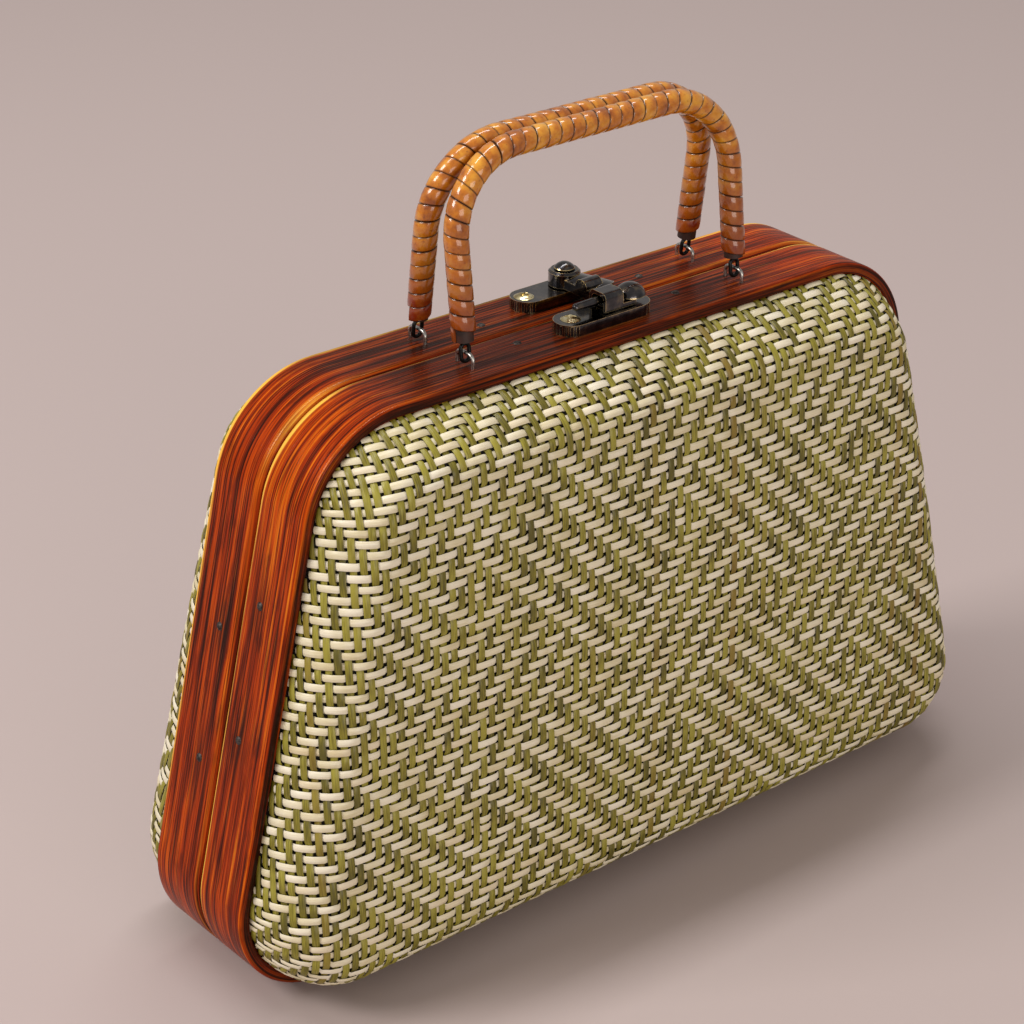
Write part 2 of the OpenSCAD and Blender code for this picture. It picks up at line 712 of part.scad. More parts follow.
// Plate with round, fluted ends, lying under Z = 0
module latch_plate(left, right) {
    end = plate_width / 2;
    difference() {
        translate([0, 0, -plate_thick]) {
            translate([left + end, -end, 0]) cube([right - left - plate_width, plate_width, plate_thick]);
            for (x = [left + end, right - end]) translate([x, 0, 0]) cylinder(r = end, h = plate_thick);
        }
        for (a = [-72:18:72]) for (side = [0, 1])
            translate([side == 0 ? left + end : right - end, 0, 0]) rotate([0, 0, side == 0 ? 180 + a : a])
                translate([end, 0, -plate_thick - past])
                    cylinder(r = flute_radius, h = plate_thick + past - flute_radius);
    }
}

module plate_bore(x, radius) translate([x, 0, -plate_thick - past])
    cylinder(r = radius, h = plate_thick + 2 * past);

module latch_pivot_plate() color([0.16, 0.13, 0.1]) at_pivot() difference() {
    latch_plate(-pivot_plate_left, pivot_plate_right);
    plate_bore(-screw_inset, screw_shank);
    plate_bore(0, rivet_radius);
    hub_screw();
}

module latch_rivet() color([0.3, 0.24, 0.14]) at_pivot() {
    translate([0, 0, -plate_thick]) cylinder(r = rivet_radius, h = plate_thick + hub_top + arm_gap);
    translate([0, 0, hub_top + arm_gap]) dome(rivet_head, rivet_rise);
}

module latch_screw() color([0.75, 0.6, 0.32]) {
    dome(screw_head, screw_rise);
    translate([0, 0, -plate_thick - blind_depth]) cylinder(r = screw_shank, h = plate_thick + blind_depth);
}

// Flush screw that holds the pivot end of its plate, hidden under the hub
module hub_screw() color([0.75, 0.6, 0.32]) translate([sunk_screw_x, 0, 0]) mirror([0, 0, 1])
    sunk_screw(plate_thick + blind_depth);

module pivot_plate_screw_1() at_pivot() translate([-screw_inset, 0, 0]) latch_screw();
module pivot_plate_screw_2() at_pivot() hub_screw();

module keeper_plate_screw() at_pivot() translate([-screw_inset, -keeper_y, 0]) latch_screw();

module latch_keeper_plate() color([0.16, 0.13, 0.1]) at_pivot() translate([0, -keeper_y, 0]) {
    difference() {
        latch_plate(-keeper_left, keeper_right);
        plate_bore(-screw_inset, screw_shank);
    }
    translate([stud_x, 0, -plate_thick / 2])
        cylinder(r = stud_neck, h = plate_thick / 2 + stud_neck_height);
    translate([stud_x, 0, stud_neck_height]) dome(stud_head, stud_rise);
}

// Side view of the hook's jaw, drawn in by a wall: forward distance and height
module jaw_profile(wall) {
    width = jaw_front - jaw_back - 2 * wall;
    height = jaw_height - wall;
    radius = jaw_round - wall / 2;
    translate([jaw_back + wall, 0]) {
        square([width, height - radius]);
        translate([radius, 0]) square([width - 2 * radius, height]);
        for (x = [radius, width - radius]) translate([x, height - radius]) circle(radius);
    }
}

// Extrudes a side view along the purse, from one sideways place to another
module along_purse(from, to) translate([to, 0, arm_under]) mirror([1, 0, 0]) mirror([0, 1, 0])
    rotate([90, 0, 90]) linear_extrude(to - from) children();

// Hub with a bevelled top, and the broad bar that leaves it, crowned across
module arm_hub() translate([0, 0, arm_under]) {
    cylinder(r = hub_radius, h = hub_height - hub_bevel);
    translate([0, 0, hub_height - hub_bevel])
        cylinder(r1 = hub_radius, r2 = hub_radius - hub_bevel, h = hub_bevel);
}

module arm_bar() rotate([0, 0, bar_lean]) translate([0, 0, arm_under]) intersection() {
    union() {
        translate([-bar_width / 2, -bar_length, 0]) cube([bar_width, bar_length, bar_thick]);
        translate([0, -bar_length, 0]) cylinder(r = bar_width / 2, h = bar_thick);
    }
    translate([0, 0, bar_thick - barrel_radius]) rotate([90, 0, 0])
        cylinder(r = barrel_radius, h = bar_length + bar_width);
}

module latch_arm() color([0.2, 0.16, 0.11]) at_pivot() difference() {
    union() {
        arm_hub();
        arm_bar();
        translate([-stem_width / 2, -jaw_back - past, arm_under])
            cube([stem_width, jaw_back + past, arm_thick]);
        translate([-stem_width / 2, -hub_radius - past - 2 * hump_radius, arm_top]) rotate([0, 90, 0])
            intersection() {
                cylinder(r = hump_radius, h = stem_width);
                translate([-hump_radius, -hump_radius, 0])
                    cube([hump_radius + past, 2 * hump_radius, stem_width]);
            }
        difference() {
            along_purse(jaw_left, jaw_right) jaw_profile(0);
            along_purse(jaw_left - past, jaw_left + jaw_pocket) jaw_profile(jaw_wall);
        }
        translate([jaw_right - past, -jaw_front, arm_under])
            cube([finger_end - jaw_right + past, finger_width, finger_thick]);
        translate([jaw_left - peg_length, -peg_y, peg_z]) {
            rotate([0, 90, 0]) cylinder(r1 = peg_tip, r2 = peg_radius, h = peg_length + jaw_pocket + past);
            sphere(peg_tip);
        }
    }
    cylinder(r = rivet_radius + rivet_clearance, h = hub_top + past);
}

front_hoop();
front_inner_hoop();
front_woven_panel();
front_lining();
back_hoop();
back_inner_hoop();
back_woven_panel();
back_lining();
for (i = [1:6]) front_nail(i);
for (i = [1:6]) back_nail(i);
for (i = [1:2]) front_staple(i);
for (i = [1:2]) back_staple(i);
for (i = [1:2]) front_hinge_leaf(i);
for (i = [1:2]) back_hinge_leaf(i);
for (i = [1:2]) hinge_pin(i);
for (i = [1:4]) front_hinge_screw(i);
for (i = [1:4]) back_hinge_screw(i);
latch_pivot_plate();
latch_rivet();
pivot_plate_screw_1();
pivot_plate_screw_2();
latch_keeper_plate();
keeper_plate_screw();
latch_arm();
front_handle_core();
front_cane_wrap();
for (i = [1:2]) front_eye(i);
back_handle_core();
back_cane_wrap();
for (i = [1:2]) back_eye(i);
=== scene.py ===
import math

import bmesh
import bpy
import numpy as np
from mathutils import Matrix, Vector


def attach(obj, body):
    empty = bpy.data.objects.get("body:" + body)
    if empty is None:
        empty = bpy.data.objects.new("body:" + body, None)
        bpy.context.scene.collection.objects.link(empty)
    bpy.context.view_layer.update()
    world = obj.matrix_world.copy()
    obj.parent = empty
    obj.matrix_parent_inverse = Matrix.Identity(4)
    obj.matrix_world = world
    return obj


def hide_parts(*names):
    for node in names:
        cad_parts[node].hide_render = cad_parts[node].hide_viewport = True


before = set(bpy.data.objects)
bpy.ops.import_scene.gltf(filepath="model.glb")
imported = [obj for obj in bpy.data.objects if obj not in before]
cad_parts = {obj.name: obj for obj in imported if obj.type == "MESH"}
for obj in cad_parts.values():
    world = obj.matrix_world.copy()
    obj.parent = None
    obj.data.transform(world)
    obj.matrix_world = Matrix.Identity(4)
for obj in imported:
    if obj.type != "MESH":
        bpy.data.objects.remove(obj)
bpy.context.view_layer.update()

# Bamboo hoops. Each half of the case is one flat strip of split bamboo, carbonised brown, bent by
# steam to a rounded trapezium and lacquered. The two strips close on each other at the seam, where
# their rounded edges are rubbed through to the pale wood. Sizes here and below are in millimetres.
case_height, base_width, top_width = 150.0, 252.0, 187.0
base_corner, top_corner = 25.0, 29.0
hoop_depth, hoop_thick, seam_half = 18.3, 3.0, 0.04
seam_round, face_round, inner_cut = 2.0, 0.8, 0.3
side_lean = math.atan2((base_width - top_width) / 2, case_height)
base_x = base_width / 2 - base_corner * (math.tan(side_lean) + 1 / math.cos(side_lean))
top_y = case_height - top_corner
top_x = base_width / 2 - top_y * math.tan(side_lean) - top_corner / math.cos(side_lean)


def case_line(spacing):
    """Points, outward directions and lengths along the case outline, from the middle of the base."""
    half = math.pi / 2
    arcs = [
        (base_x, base_corner, base_corner, -half, side_lean),
        (top_x, top_y, top_corner, side_lean, half),
        (-top_x, top_y, top_corner, half, 2 * half - side_lean),
        (-base_x, base_corner, base_corner, 2 * half - side_lean, 3 * half),
    ]
    points, outs = [(0.0, 0.0)], [(0.0, -1.0)]

    def straight_to(x, y):
        start = np.array(points[-1])
        count = math.ceil(np.hypot(x - start[0], y - start[1]) / spacing)
        for i in range(1, count + 1):
            points.append(tuple(start + (np.array([x, y]) - start) * i / count))
            outs.append(outs[-1])

    for x, y, radius, first, last in arcs:
        straight_to(x + radius * math.cos(first), y + radius * math.sin(first))
        count = math.ceil(radius * (last - first) / spacing)
        for i in range(1, count + 1):
            a = first + (last - first) * i / count
            points.append((x + radius * math.cos(a), y + radius * math.sin(a)))
            outs.append((math.cos(a), math.sin(a)))
    straight_to(0.0, 0.0)
    points, outs = np.array(points[:-1]), np.array(outs[:-1])
    steps = np.linalg.norm(np.roll(points, -1, axis=0) - points, axis=1)
    return points, outs, np.concatenate([[0.0], np.cumsum(steps)])


def make_piece(name, points, faces, sharp=35.0):
    """A mesh object from points in millimetres, with smooth shading below a sharp angle in degrees."""
    mesh = bpy.data.meshes.new(name)
    mesh.from_pydata((np.asarray(points, float) * 0.001).tolist(), [], [list(map(int, f)) for f in faces])
    work = bmesh.new()
    work.from_mesh(mesh)
    bmesh.ops.recalc_face_normals(work, faces=work.faces)
    work.to_mesh(mesh)
    work.free()
    mesh.shade_smooth()
    mesh.set_sharp_from_angle(angle=math.radians(sharp))
    piece = bpy.data.objects.new(name, mesh)
    bpy.context.scene.collection.objects.link(piece)
    return piece


def sweep_round_case(name, section, side, start=0.0, spacing=1.5):
    """Sweeps a closed section of (step in from the outline, distance from the seam) round the case.
    Its map, along and across the strip in millimetres, starts at the middle of the base."""
    points, outs, along = case_line(spacing)
    section = np.array(section)
    rings, sides = len(points), len(section)
    flat = points[:, None, :] - section[None, :, :1] * outs[:, None, :]
    depth = np.broadcast_to(side * section[None, :, 1], flat.shape[:2])
    places = np.stack([flat[..., 0], depth, flat[..., 1]], axis=-1).reshape(-1, 3)
    across = np.concatenate([[0.0], np.cumsum(np.linalg.norm(np.roll(section, -1, 0) - section, axis=1))])
    faces, spots = [], {}
    for i in range(rings):
        j = (i + 1) % rings
        for k in range(sides):
            m = (k + 1) % sides
            faces.append((i * sides + k, j * sides + k, j * sides + m, i * sides + m))
            spots[frozenset(faces[-1])] = {
                i * sides + k: (along[i], across[k]), j * sides + k: (along[i + 1], across[k]),
                j * sides + m: (along[i + 1], across[k + 1]), i * sides + m: (along[i], across[k + 1])}
    piece = make_piece(name, places, faces)
    grain = piece.data.uv_layers.new(name="grain_mm")
    for face in piece.data.polygons:
        where = spots[frozenset(face.vertices)]
        for loop in face.loop_indices:
            u, v = where[piece.data.loops[loop].vertex_index]
            grain.data[loop].uv = (u + start, v)
    return piece, places


def quarter_round(step, depth, radius, first, count):
    """Points of a quarter circle on a section, turning back by 90 degrees from an angle."""
    turns = [math.radians(first - 90 * i / count) for i in range(count + 1)]
    return [(step - radius * math.sin(a), depth + radius * math.cos(a)) for a in turns]


hoop_section = (
    [(hoop_thick, seam_half)]
    + quarter_round(seam_round, seam_half + seam_round, seam_round, 180, 8)
    + [(0.0, d) for d in range(4, 17, 2)]
    + quarter_round(face_round, hoop_depth - face_round, face_round, 90, 5)
    + [(hoop_thick - inner_cut, hoop_depth), (hoop_thick, hoop_depth - inner_cut)]
)
nail_depth, nail_x, nail_low, nail_high, nail_stagger = 7.0, 26.0, 64.0, 98.0, 5.3
hinge_x, hinge_length, leaf_reach, leaf_thick = 60.0, 21.0, 9.0, 0.8
knuckle_room, knuckle_height, knuckle_slack, cut_past = 1.6, 1.0, 0.7, 1.0


def linear(colour):
    """A hex sRGB colour as linear red, green, blue and alpha."""
    parts = [int(colour[i:i + 2], 16) / 255 for i in (1, 3, 5)]
    return [c / 12.92 if c <= 0.04045 else ((c + 0.055) / 1.055) ** 2.4 for c in parts] + [1.0]


def add_node(tree, kind, inputs=None, stops=None, **settings):
    """Adds a node with its settings, and sets or links its inputs. Stops are a ramp's colours."""
    node = tree.nodes.new(kind)
    for name, value in settings.items():
        setattr(node, name, value)
    for key, value in (inputs or {}).items():
        if isinstance(value, bpy.types.NodeSocket):
            tree.links.new(value, node.inputs[key])
        else:
            node.inputs[key].default_value = value
    for i, (place, colour) in enumerate(stops or []):
        element = node.color_ramp.elements[i] if i < 2 else node.color_ramp.elements.new(place)
        element.position = place
        element.color = linear(colour) if isinstance(colour, str) else (colour, colour, colour, 1.0)
    return node


def start_material(name):
    """A new material with an empty node tree."""
    material = bpy.data.materials.new(name)
    material.use_nodes = True
    material.node_tree.nodes.clear()
    return material, material.node_tree


# Carbonised bamboo under thin lacquer: streaks of dark fibre run along the strip between red-brown and
# orange bands, smoky patches and scorch marks darken it, painted shade darkens the top, and rubbed edges
# turn gold, with more gold at the upper bends that is partly wear and partly a painted highlight. The
# finest lines are drawn at 0.4 mm, coarser than real fibres, so that they show.
ridge_height = 0.2
carbonised_bamboo, tree = start_material("carbonised_bamboo_lacquered")
grain = add_node(tree, "ShaderNodeUVMap", uv_map="grain_mm").outputs["UV"]
streaks = {}
for name, length, width, detail, rough, bent in (
        ("bands", 130, 2.6, 4.0, 0.6, 0.15), ("bundles", 48, 0.75, 3.0, 0.65, 0.0),
        ("lines", 20, 0.4, 2.0, 0.5, 0.0), ("patches", 17, 4.5, 5.0, 0.6, 0.0)):
    drawn = add_node(tree, "ShaderNodeMapping", {"Vector": grain, "Scale": (1 / length, 1 / width, 1)})
    drawn = add_node(tree, "ShaderNodeTexNoise", {"Vector": drawn.outputs[0], "Scale": 1.0, "Detail": detail,
                                                  "Roughness": rough, "Distortion": bent})
    streaks[name] = drawn.outputs["Fac"]
mixed = add_node(tree, "ShaderNodeMath", {0: streaks["bands"], 1: streaks["bundles"]}, operation="ADD")
mixed = add_node(tree, "ShaderNodeMath", {0: mixed.outputs[0], 1: 0.5}, operation="MULTIPLY")
shade = add_node(tree, "ShaderNodeAttribute", attribute_name="shade").outputs["Fac"]
mixed = add_node(tree, "ShaderNodeMath", {0: mixed.outputs[0], 1: shade}, operation="SUBTRACT")
wood = add_node(tree, "ShaderNodeValToRGB", {"Fac": mixed.outputs[0]}, stops=[
    (0.38, "#2a0a02"), (0.44, "#5e1a03"), (0.5, "#962d02"), (0.56, "#b74504"), (0.64, "#d27412")]).outputs[0]
# Smoky patches, dark lines and pale lines: where each starts, where it is full, and how strong it is.
for name, first, full, strength, colour in (
        ("patches", 0.54, 0.72, 0.75, "#2e0a03"), ("lines", 0.52, 0.66, 0.8, "#260702"),
        ("lines", 0.4, 0.28, 0.45, "#cc6a14")):
    marks = add_node(tree, "ShaderNodeMapRange", {"Value": streaks[name], "From Min": first,
                                                  "From Max": full, "To Max": strength})
    wood = add_node(tree, "ShaderNodeMix", {0: marks.outputs[0], 6: wood, 7: linear(colour)},
                    data_type="RGBA").outputs[2]
# Gold on rubbed edges: wear, and at the upper bends partly a painted highlight.
worn_and_highlight = add_node(tree, "ShaderNodeAttribute", attribute_name="wear").outputs["Fac"]
worn_and_highlight = add_node(tree, "ShaderNodeMath", {0: worn_and_highlight, 1: streaks["bundles"]}, operation="MULTIPLY")
worn_and_highlight = add_node(tree, "ShaderNodeMapRange", {"Value": worn_and_highlight.outputs[0], "From Min": 0.14, "From Max": 0.5})
gold = add_node(tree, "ShaderNodeValToRGB", {"Fac": worn_and_highlight.outputs[0]}, stops=[
    (0.3, "#b85a12"), (0.9, "#f2b848")])
wood = add_node(tree, "ShaderNodeMix", {0: worn_and_highlight.outputs[0], 6: wood, 7: gold.outputs[0]}, data_type="RGBA")
# Scorch marks, and painted shade along the top, darken the wood.
burnt_and_shaded = add_node(tree, "ShaderNodeAttribute", attribute_name="scorch").outputs["Fac"]
burnt_lines = add_node(tree, "ShaderNodeMapRange", {"Value": streaks["bundles"], "From Min": 0.35,
                                                    "From Max": 0.6, "To Min": 1.0, "To Max": 0.5})
burnt_and_shaded = add_node(tree, "ShaderNodeMath", {0: burnt_and_shaded, 1: burnt_lines.outputs[0]}, operation="MULTIPLY")
wood = add_node(tree, "ShaderNodeMix", {0: burnt_and_shaded.outputs[0], 6: wood.outputs[2], 7: linear("#1f1008")},
                data_type="RGBA")
ridges = add_node(tree, "ShaderNodeBump", {"Height": streaks["lines"], "Strength": 0.5,
                                           "Distance": ridge_height * 0.001})
sheen = add_node(tree, "ShaderNodeMapRange", {"Value": streaks["lines"], "To Min": 0.24, "To Max": 0.42})
surface = add_node(tree, "ShaderNodeBsdfPrincipled", {
    "Base Color": wood.outputs[2], "Roughness": sheen.outputs[0], "IOR": 1.5, "Specular IOR Level": 0.05,
    "Normal": ridges.outputs[0], "Coat Weight": 0.1, "Coat Roughness": 0.12,
    "Coat Normal": ridges.outputs[0]})
add_node(tree, "ShaderNodeOutputMaterial", {"Surface": surface.outputs[0]})


def side_x(height):
    """Half the width of the case on the straight of its sides."""
    return base_width / 2 - height * math.tan(side_lean)


def cutter_from(name, work):
    """An object to cut with, from a bmesh in millimetres."""
    bmesh.ops.scale(work, vec=(0.001, 0.001, 0.001), verts=work.verts)
    mesh = bpy.data.meshes.new(name)
    work.to_mesh(mesh)
    work.free()
    cutter = bpy.data.objects.new(name, mesh)
    bpy.context.scene.collection.objects.link(cutter)
    return cutter


def hinge_cutter(side):
    """The pocket for both hinge leaves and their knuckles in one hoop."""
    work = bmesh.new()
    for x in (-hinge_x, hinge_x):
        middle = (x, side * leaf_reach / 2, leaf_thick / 2 - cut_past / 2)
        size = (hinge_length, leaf_reach, leaf_thick + cut_past, 1.0)
        bmesh.ops.create_cube(work, size=1.0, matrix=Matrix.Translation(middle) @ Matrix.Diagonal(size))
        turn = Matrix.Translation((x, 0.0, knuckle_height)) @ Matrix.Rotation(math.pi / 2, 4, "Y")
        bmesh.ops.create_cone(work, cap_ends=True, segments=32, radius1=knuckle_room, radius2=knuckle_room,
                              depth=hinge_length + knuckle_slack, matrix=turn)
    return cutter_from("hinge_pocket", work)


def cut_out(piece, cutter, material):
    """Cuts the cutter out of a piece for good, and gives the whole piece its material."""
    cut = piece.modifiers.new("cut", "BOOLEAN")
    cut.operation, cut.solver, cut.object, cut.use_self = "DIFFERENCE", "EXACT", cutter, True
    done = piece.evaluated_get(bpy.context.evaluated_depsgraph_get())
    mesh = bpy.data.meshes.new_from_object(done)
    piece.modifiers.remove(cut)
    old, piece.data = piece.data, mesh
    bpy.data.meshes.remove(old)
    bpy.data.objects.remove(cutter)
    mesh.materials.clear()
    mesh.materials.append(material)


def set_values(piece, **values):
    """Stores a number at each point of a piece, for its material to read."""
    for name, numbers in values.items():
        store = piece.data.attributes.new(name, "FLOAT", "POINT").data
        store.foreach_set("value", numbers.astype(np.float32))


# Marks on the hoops, as places, widths and strengths: hands rub the upper bends, the line beside the
# seam and the outer edge above the base, and the extra gold at the upper bends is also a painted
# highlight; the nail holes and the cut face are scorched, and the top is darkened with painted shade.
# Each strip starts on its own part of the grain.
bend_x, bend_z, bend_wide, bend_high, bend_wear = 84, 143, 13, 17, 0.06
rub_depth, rub_width, rub_wider, rub_stronger = 1.2, 0.6, 0.8, 0.3
face_rub, rub_foot, rub_climb = 0.7, 10, 60
top_band, top_middle, top_half, top_fade, top_scorch = 2, -15, 75, 30, 0.95
nail_scorch, nail_wide, nail_across, cut_face = 0.9, 10, 2.6, 0.05
for half, side, start, seam_wear, face_wear, darker in (
        ("front", -1, 0.0, 1.0, 0.3, 0.0), ("back", 1, 917.0, 0.55, 1.0, 0.012)):
    hoop, places = sweep_round_case(half + "_bamboo_hoop", hoop_section, side, start)
    x, depth, z = places[:, 0], np.abs(places[:, 1]), places[:, 2]
    # Painted highlight and wear: the seam rub is wider, stronger and more golden at the upper bends.
    bend_rub_and_highlight = np.exp(-((np.abs(x) - bend_x) / bend_wide) ** 2 - ((z - bend_z) / bend_high) ** 2)
    seam_edge = np.exp(-((depth - rub_depth) / (rub_width + rub_wider * bend_rub_and_highlight)) ** 2)
    seam_edge *= (1.0 + rub_stronger * bend_rub_and_highlight) * seam_wear
    outer_edge = np.exp(-((depth - hoop_depth + face_rub) / face_rub) ** 2)
    outer_edge *= np.clip((z - rub_foot) / rub_climb, 0, 1) * face_wear
    wear = np.clip(seam_edge + outer_edge + bend_wear * bend_rub_and_highlight, 0, 1)
    # Painted shade: the top of the hoop is darkened near its middle, and stored with the scorch marks.
    on_top = np.clip((z - case_height + top_band) / top_band, 0, 1)
    on_top *= np.clip((top_half - np.abs(x - top_middle)) / top_fade, 0, 1)
    scorch = np.where(depth > hoop_depth - cut_face, 1.0, top_scorch * on_top)
    nails = [(-nail_x, case_height), (nail_x, case_height)]
    nails += [(s * side_x(h - side * nail_stagger), h - side * nail_stagger)
              for s in (-1, 1) for h in (nail_low, nail_high)]
    for at_x, at_z in nails:
        gap = np.hypot(x - at_x, z - at_z)
        scorch += nail_scorch * np.exp(-(gap / nail_wide) ** 2 - ((depth - nail_depth) / nail_across) ** 2)
    set_values(hoop, wear=wear, scorch=np.clip(scorch, 0, 1), shade=np.full(len(places), darker))
    cut_out(hoop, hinge_cutter(side), carbonised_bamboo)
    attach(hoop, half + "_half")
    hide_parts(half + "_hoop")

# Inner hoops. A second, thinner bamboo strip is bent inside each hoop and traps the edge of the
# woven mat in a rabbet. It is sanded and oiled, with no gloss lacquer.
inner_face, inner_back, inner_front, inner_ease = 6.2, 2.5, 16.0, 0.4
rabbet_step, rabbet_depth = 4.4, 10.0
inner_section = [
    (inner_face, inner_back + inner_ease), (inner_face - inner_ease, inner_back), (hoop_thick, inner_back),
    (hoop_thick, rabbet_depth), (rabbet_step, rabbet_depth), (rabbet_step, inner_front),
    (inner_face - inner_ease, inner_front), (inner_face, inner_front - inner_ease)]

# Oiled bamboo: straight pale-brown fibres with darker lines and a dull sheen, drawn at 0.7 mm, coarser
# than real ones.
fibre_length, fibre_width = 90, 0.7
oiled_bamboo, tree = start_material("bamboo_oiled")
grain = add_node(tree, "ShaderNodeUVMap", uv_map="grain_mm").outputs["UV"]
fibres = add_node(tree, "ShaderNodeMapping", {
    "Vector": grain, "Scale": (1 / fibre_length, 1 / fibre_width, 1)})
fibres = add_node(tree, "ShaderNodeTexNoise", {"Vector": fibres.outputs[0], "Scale": 1.0, "Detail": 5.0,
                                               "Roughness": 0.65})
wood = add_node(tree, "ShaderNodeValToRGB", {"Fac": fibres.outputs["Fac"]}, stops=[
    (0.32, "#4e2c12"), (0.5, "#85552a"), (0.68, "#a9753d")])
ridges = add_node(tree, "ShaderNodeBump", {"Height": fibres.outputs["Fac"], "Strength": 0.4,
                                           "Distance": ridge_height * 0.001})
surface = add_node(tree, "ShaderNodeBsdfPrincipled", {
    "Base Color": wood.outputs[0], "Roughness": 0.5, "IOR": 1.5, "Normal": ridges.outputs[0]})
add_node(tree, "ShaderNodeOutputMaterial", {"Surface": surface.outputs[0]})

for half, side, start in (("front", -1, 340.0), ("back", 1, 1500.0)):
    inner, _ = sweep_round_case(half + "_inner_bamboo_hoop", inner_section, side, start, spacing=2.0)
    inner.data.materials.append(oiled_bamboo)
    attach(inner, half + "_half")
    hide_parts(half + "_inner_hoop")

# Linings. Each half is lined with a dark cotton cloth that is stretched over the inside of the mat
# and glued to the inner hoop. Seen from outside, it is the black behind the weave.
bulge_base, bulge_top, panel_crown, panel_edge, edge_slack = 20.0, 14.0, 2.0, 13.0, 3
lining_below, sheet_spacing = 1.6, 3.0
edge_turns = range(0, 91, 9)  # degrees round the curved edge
middle_shares = (0.86, 0.72, 0.58, 0.44, 0.3, 0.15)  # of the way from the middle to that edge


def bulge(height):
    """How far the panel stands out beyond its hoop at a height."""
    return bulge_base + (bulge_top - bulge_base) * height / case_height


def tube_faces(rings, sides, base=0):
    """Faces between rings of points that follow each other, each ring closed on itself."""
    pairs = [(base + k * sides, i, (i + 1) % sides) for k in range(rings - 1) for i in range(sides)]
    return [(ring + i, ring + j, ring + sides + j, ring + sides + i) for ring, i, j in pairs]


def dome_sheet(name, below, rim, side):
    """One layer of cloth under the dome, a distance below the outer face of the mat."""
    points, outs, _ = case_line(sheet_spacing)
    count = len(points)
    flat = points - (hoop_thick + below) * outs
    rings = [np.column_stack([flat[:, 0], np.full(count, rim), flat[:, 1]])]
    for a in np.radians(edge_turns):
        full = points - (hoop_thick + below + (panel_edge - below) * (1 - math.cos(a))) * outs
        slack = points - (hoop_thick + below + (panel_edge - below) * a / (math.pi / 2)) * outs
        flat = full + (slack - full) * ((full[:, 1:] / case_height) ** edge_slack)
        depth = hoop_depth + (bulge(flat[:, 1]) - below) * math.sin(a)
        rings.append(np.column_stack([flat[:, 0], depth, flat[:, 1]]))
    edge = points - (hoop_thick + panel_edge) * outs
    for share in middle_shares:
        x, z = edge[:, 0] * share, case_height / 2 + (edge[:, 1] - case_height / 2) * share
        depth = hoop_depth + bulge(z) - below + panel_crown * (1 - share * share)
        rings.append(np.column_stack([x, depth, z]))
    top = [0.0, hoop_depth + bulge(case_height / 2) - below + panel_crown, case_height / 2]
    places = np.concatenate(rings + [np.array([top])])
    places[:, 1] *= side
    faces = tube_faces(len(rings), count)
    last = (len(rings) - 1) * count
    faces += [(last + i, last + (i + 1) % count, len(places) - 1) for i in range(count)]
    return make_piece(name, places, faces, sharp=60.0)


# Black cotton twill: a matt cloth with a fine diagonal rib, drawn at 0.8 mm, twice as coarse as the
# real thread, so that it shows. Blender's wave repeats every 0.314 units at a scale of 1, and object
# coordinates are in metres, so a size in millimetres divides 1000.
rib_size, rib_height, fuzz_size, wave_repeat = 0.8, 0.2, 1.2, 0.314
cotton_twill, tree = start_material("cotton_twill_black")
where = add_node(tree, "ShaderNodeTexCoord").outputs["Object"]
turned = add_node(tree, "ShaderNodeMapping", {"Vector": where, "Rotation": (0.0, math.radians(45), 0.0)})
rib = add_node(tree, "ShaderNodeTexWave", {"Vector": turned.outputs[0], "Scale": wave_repeat * 1000 / rib_size,
                                           "Distortion": 0.6, "Detail": 2.0}, bands_direction="X")
fuzz = add_node(tree, "ShaderNodeTexNoise", {"Vector": where, "Scale": 1000 / fuzz_size, "Detail": 4.0})
shade = add_node(tree, "ShaderNodeMath", {0: rib.outputs["Fac"], 1: fuzz.outputs["Fac"]},
                 operation="MULTIPLY")
cloth = add_node(tree, "ShaderNodeValToRGB", {"Fac": shade.outputs[0]}, stops=[
    (0.1, "#0d0a08"), (0.6, "#2a231d")])
thread = add_node(tree, "ShaderNodeBump", {"Height": rib.outputs["Fac"], "Strength": 0.5,
                                           "Distance": rib_height * 0.001})
surface = add_node(tree, "ShaderNodeBsdfPrincipled", {
    "Base Color": cloth.outputs[0], "Roughness": 0.92, "Sheen Weight": 0.15, "Normal": thread.outputs[0]})
add_node(tree, "ShaderNodeOutputMaterial", {"Surface": surface.outputs[0]})

for half, side in (("front", -1), ("back", 1)):
    lining = dome_sheet(half + "_cloth_lining", lining_below, inner_front, side)
    lining.data.materials.append(cotton_twill)
    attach(lining, half + "_half")
    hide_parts(half + "_lining")

# Woven panels. Flat bamboo splints, green ones upright and bleached ones level, are woven two over
# and two under in lozenges of twill that meet at dots. The mat is woven flat, pressed over a dome and
# tucked in behind the hoop, so its squares crowd together at the corners.
pitch, splint_thick, warp_width, weft_width = 2.66, 0.42, 1.85, 1.85
warp_numbers, weft_numbers = range(-68, 41), range(-37, 39)
dot_x, dot_z, dot_repeat = 36.2, 72.6, 24
over_level, under_level, tuck, splint_arch = -0.30, -0.82, 1.2, 0.05
warp_reach, weft_reach = 0.36, 0.4  # how far beside a crossing a splint stays level, in pitches
drift_size, drift_length, drift_jump, width_spread, level_spread = 0.07, 17.0, 0.04, 0.03, 0.012
nudge = 0.05  # step for the slope of the dome
plateau_step = hoop_thick + panel_edge
steepness = np.radians(np.linspace(90, 0, 91))
edge_rows = np.linspace(0, case_height, 13)
edge_lengths = []
for height in edge_rows:
    slack = (height / case_height) ** edge_slack
    inward = panel_edge * ((1 - slack) * np.sin(steepness) + slack / (math.pi / 2))
    speed = np.hypot(inward, bulge(height) * np.cos(steepness))
    steps = (speed[1:] + speed[:-1]) / 2 * np.radians(1.0)
    edge_lengths.append(np.concatenate([[0.0], np.cumsum(steps)]))


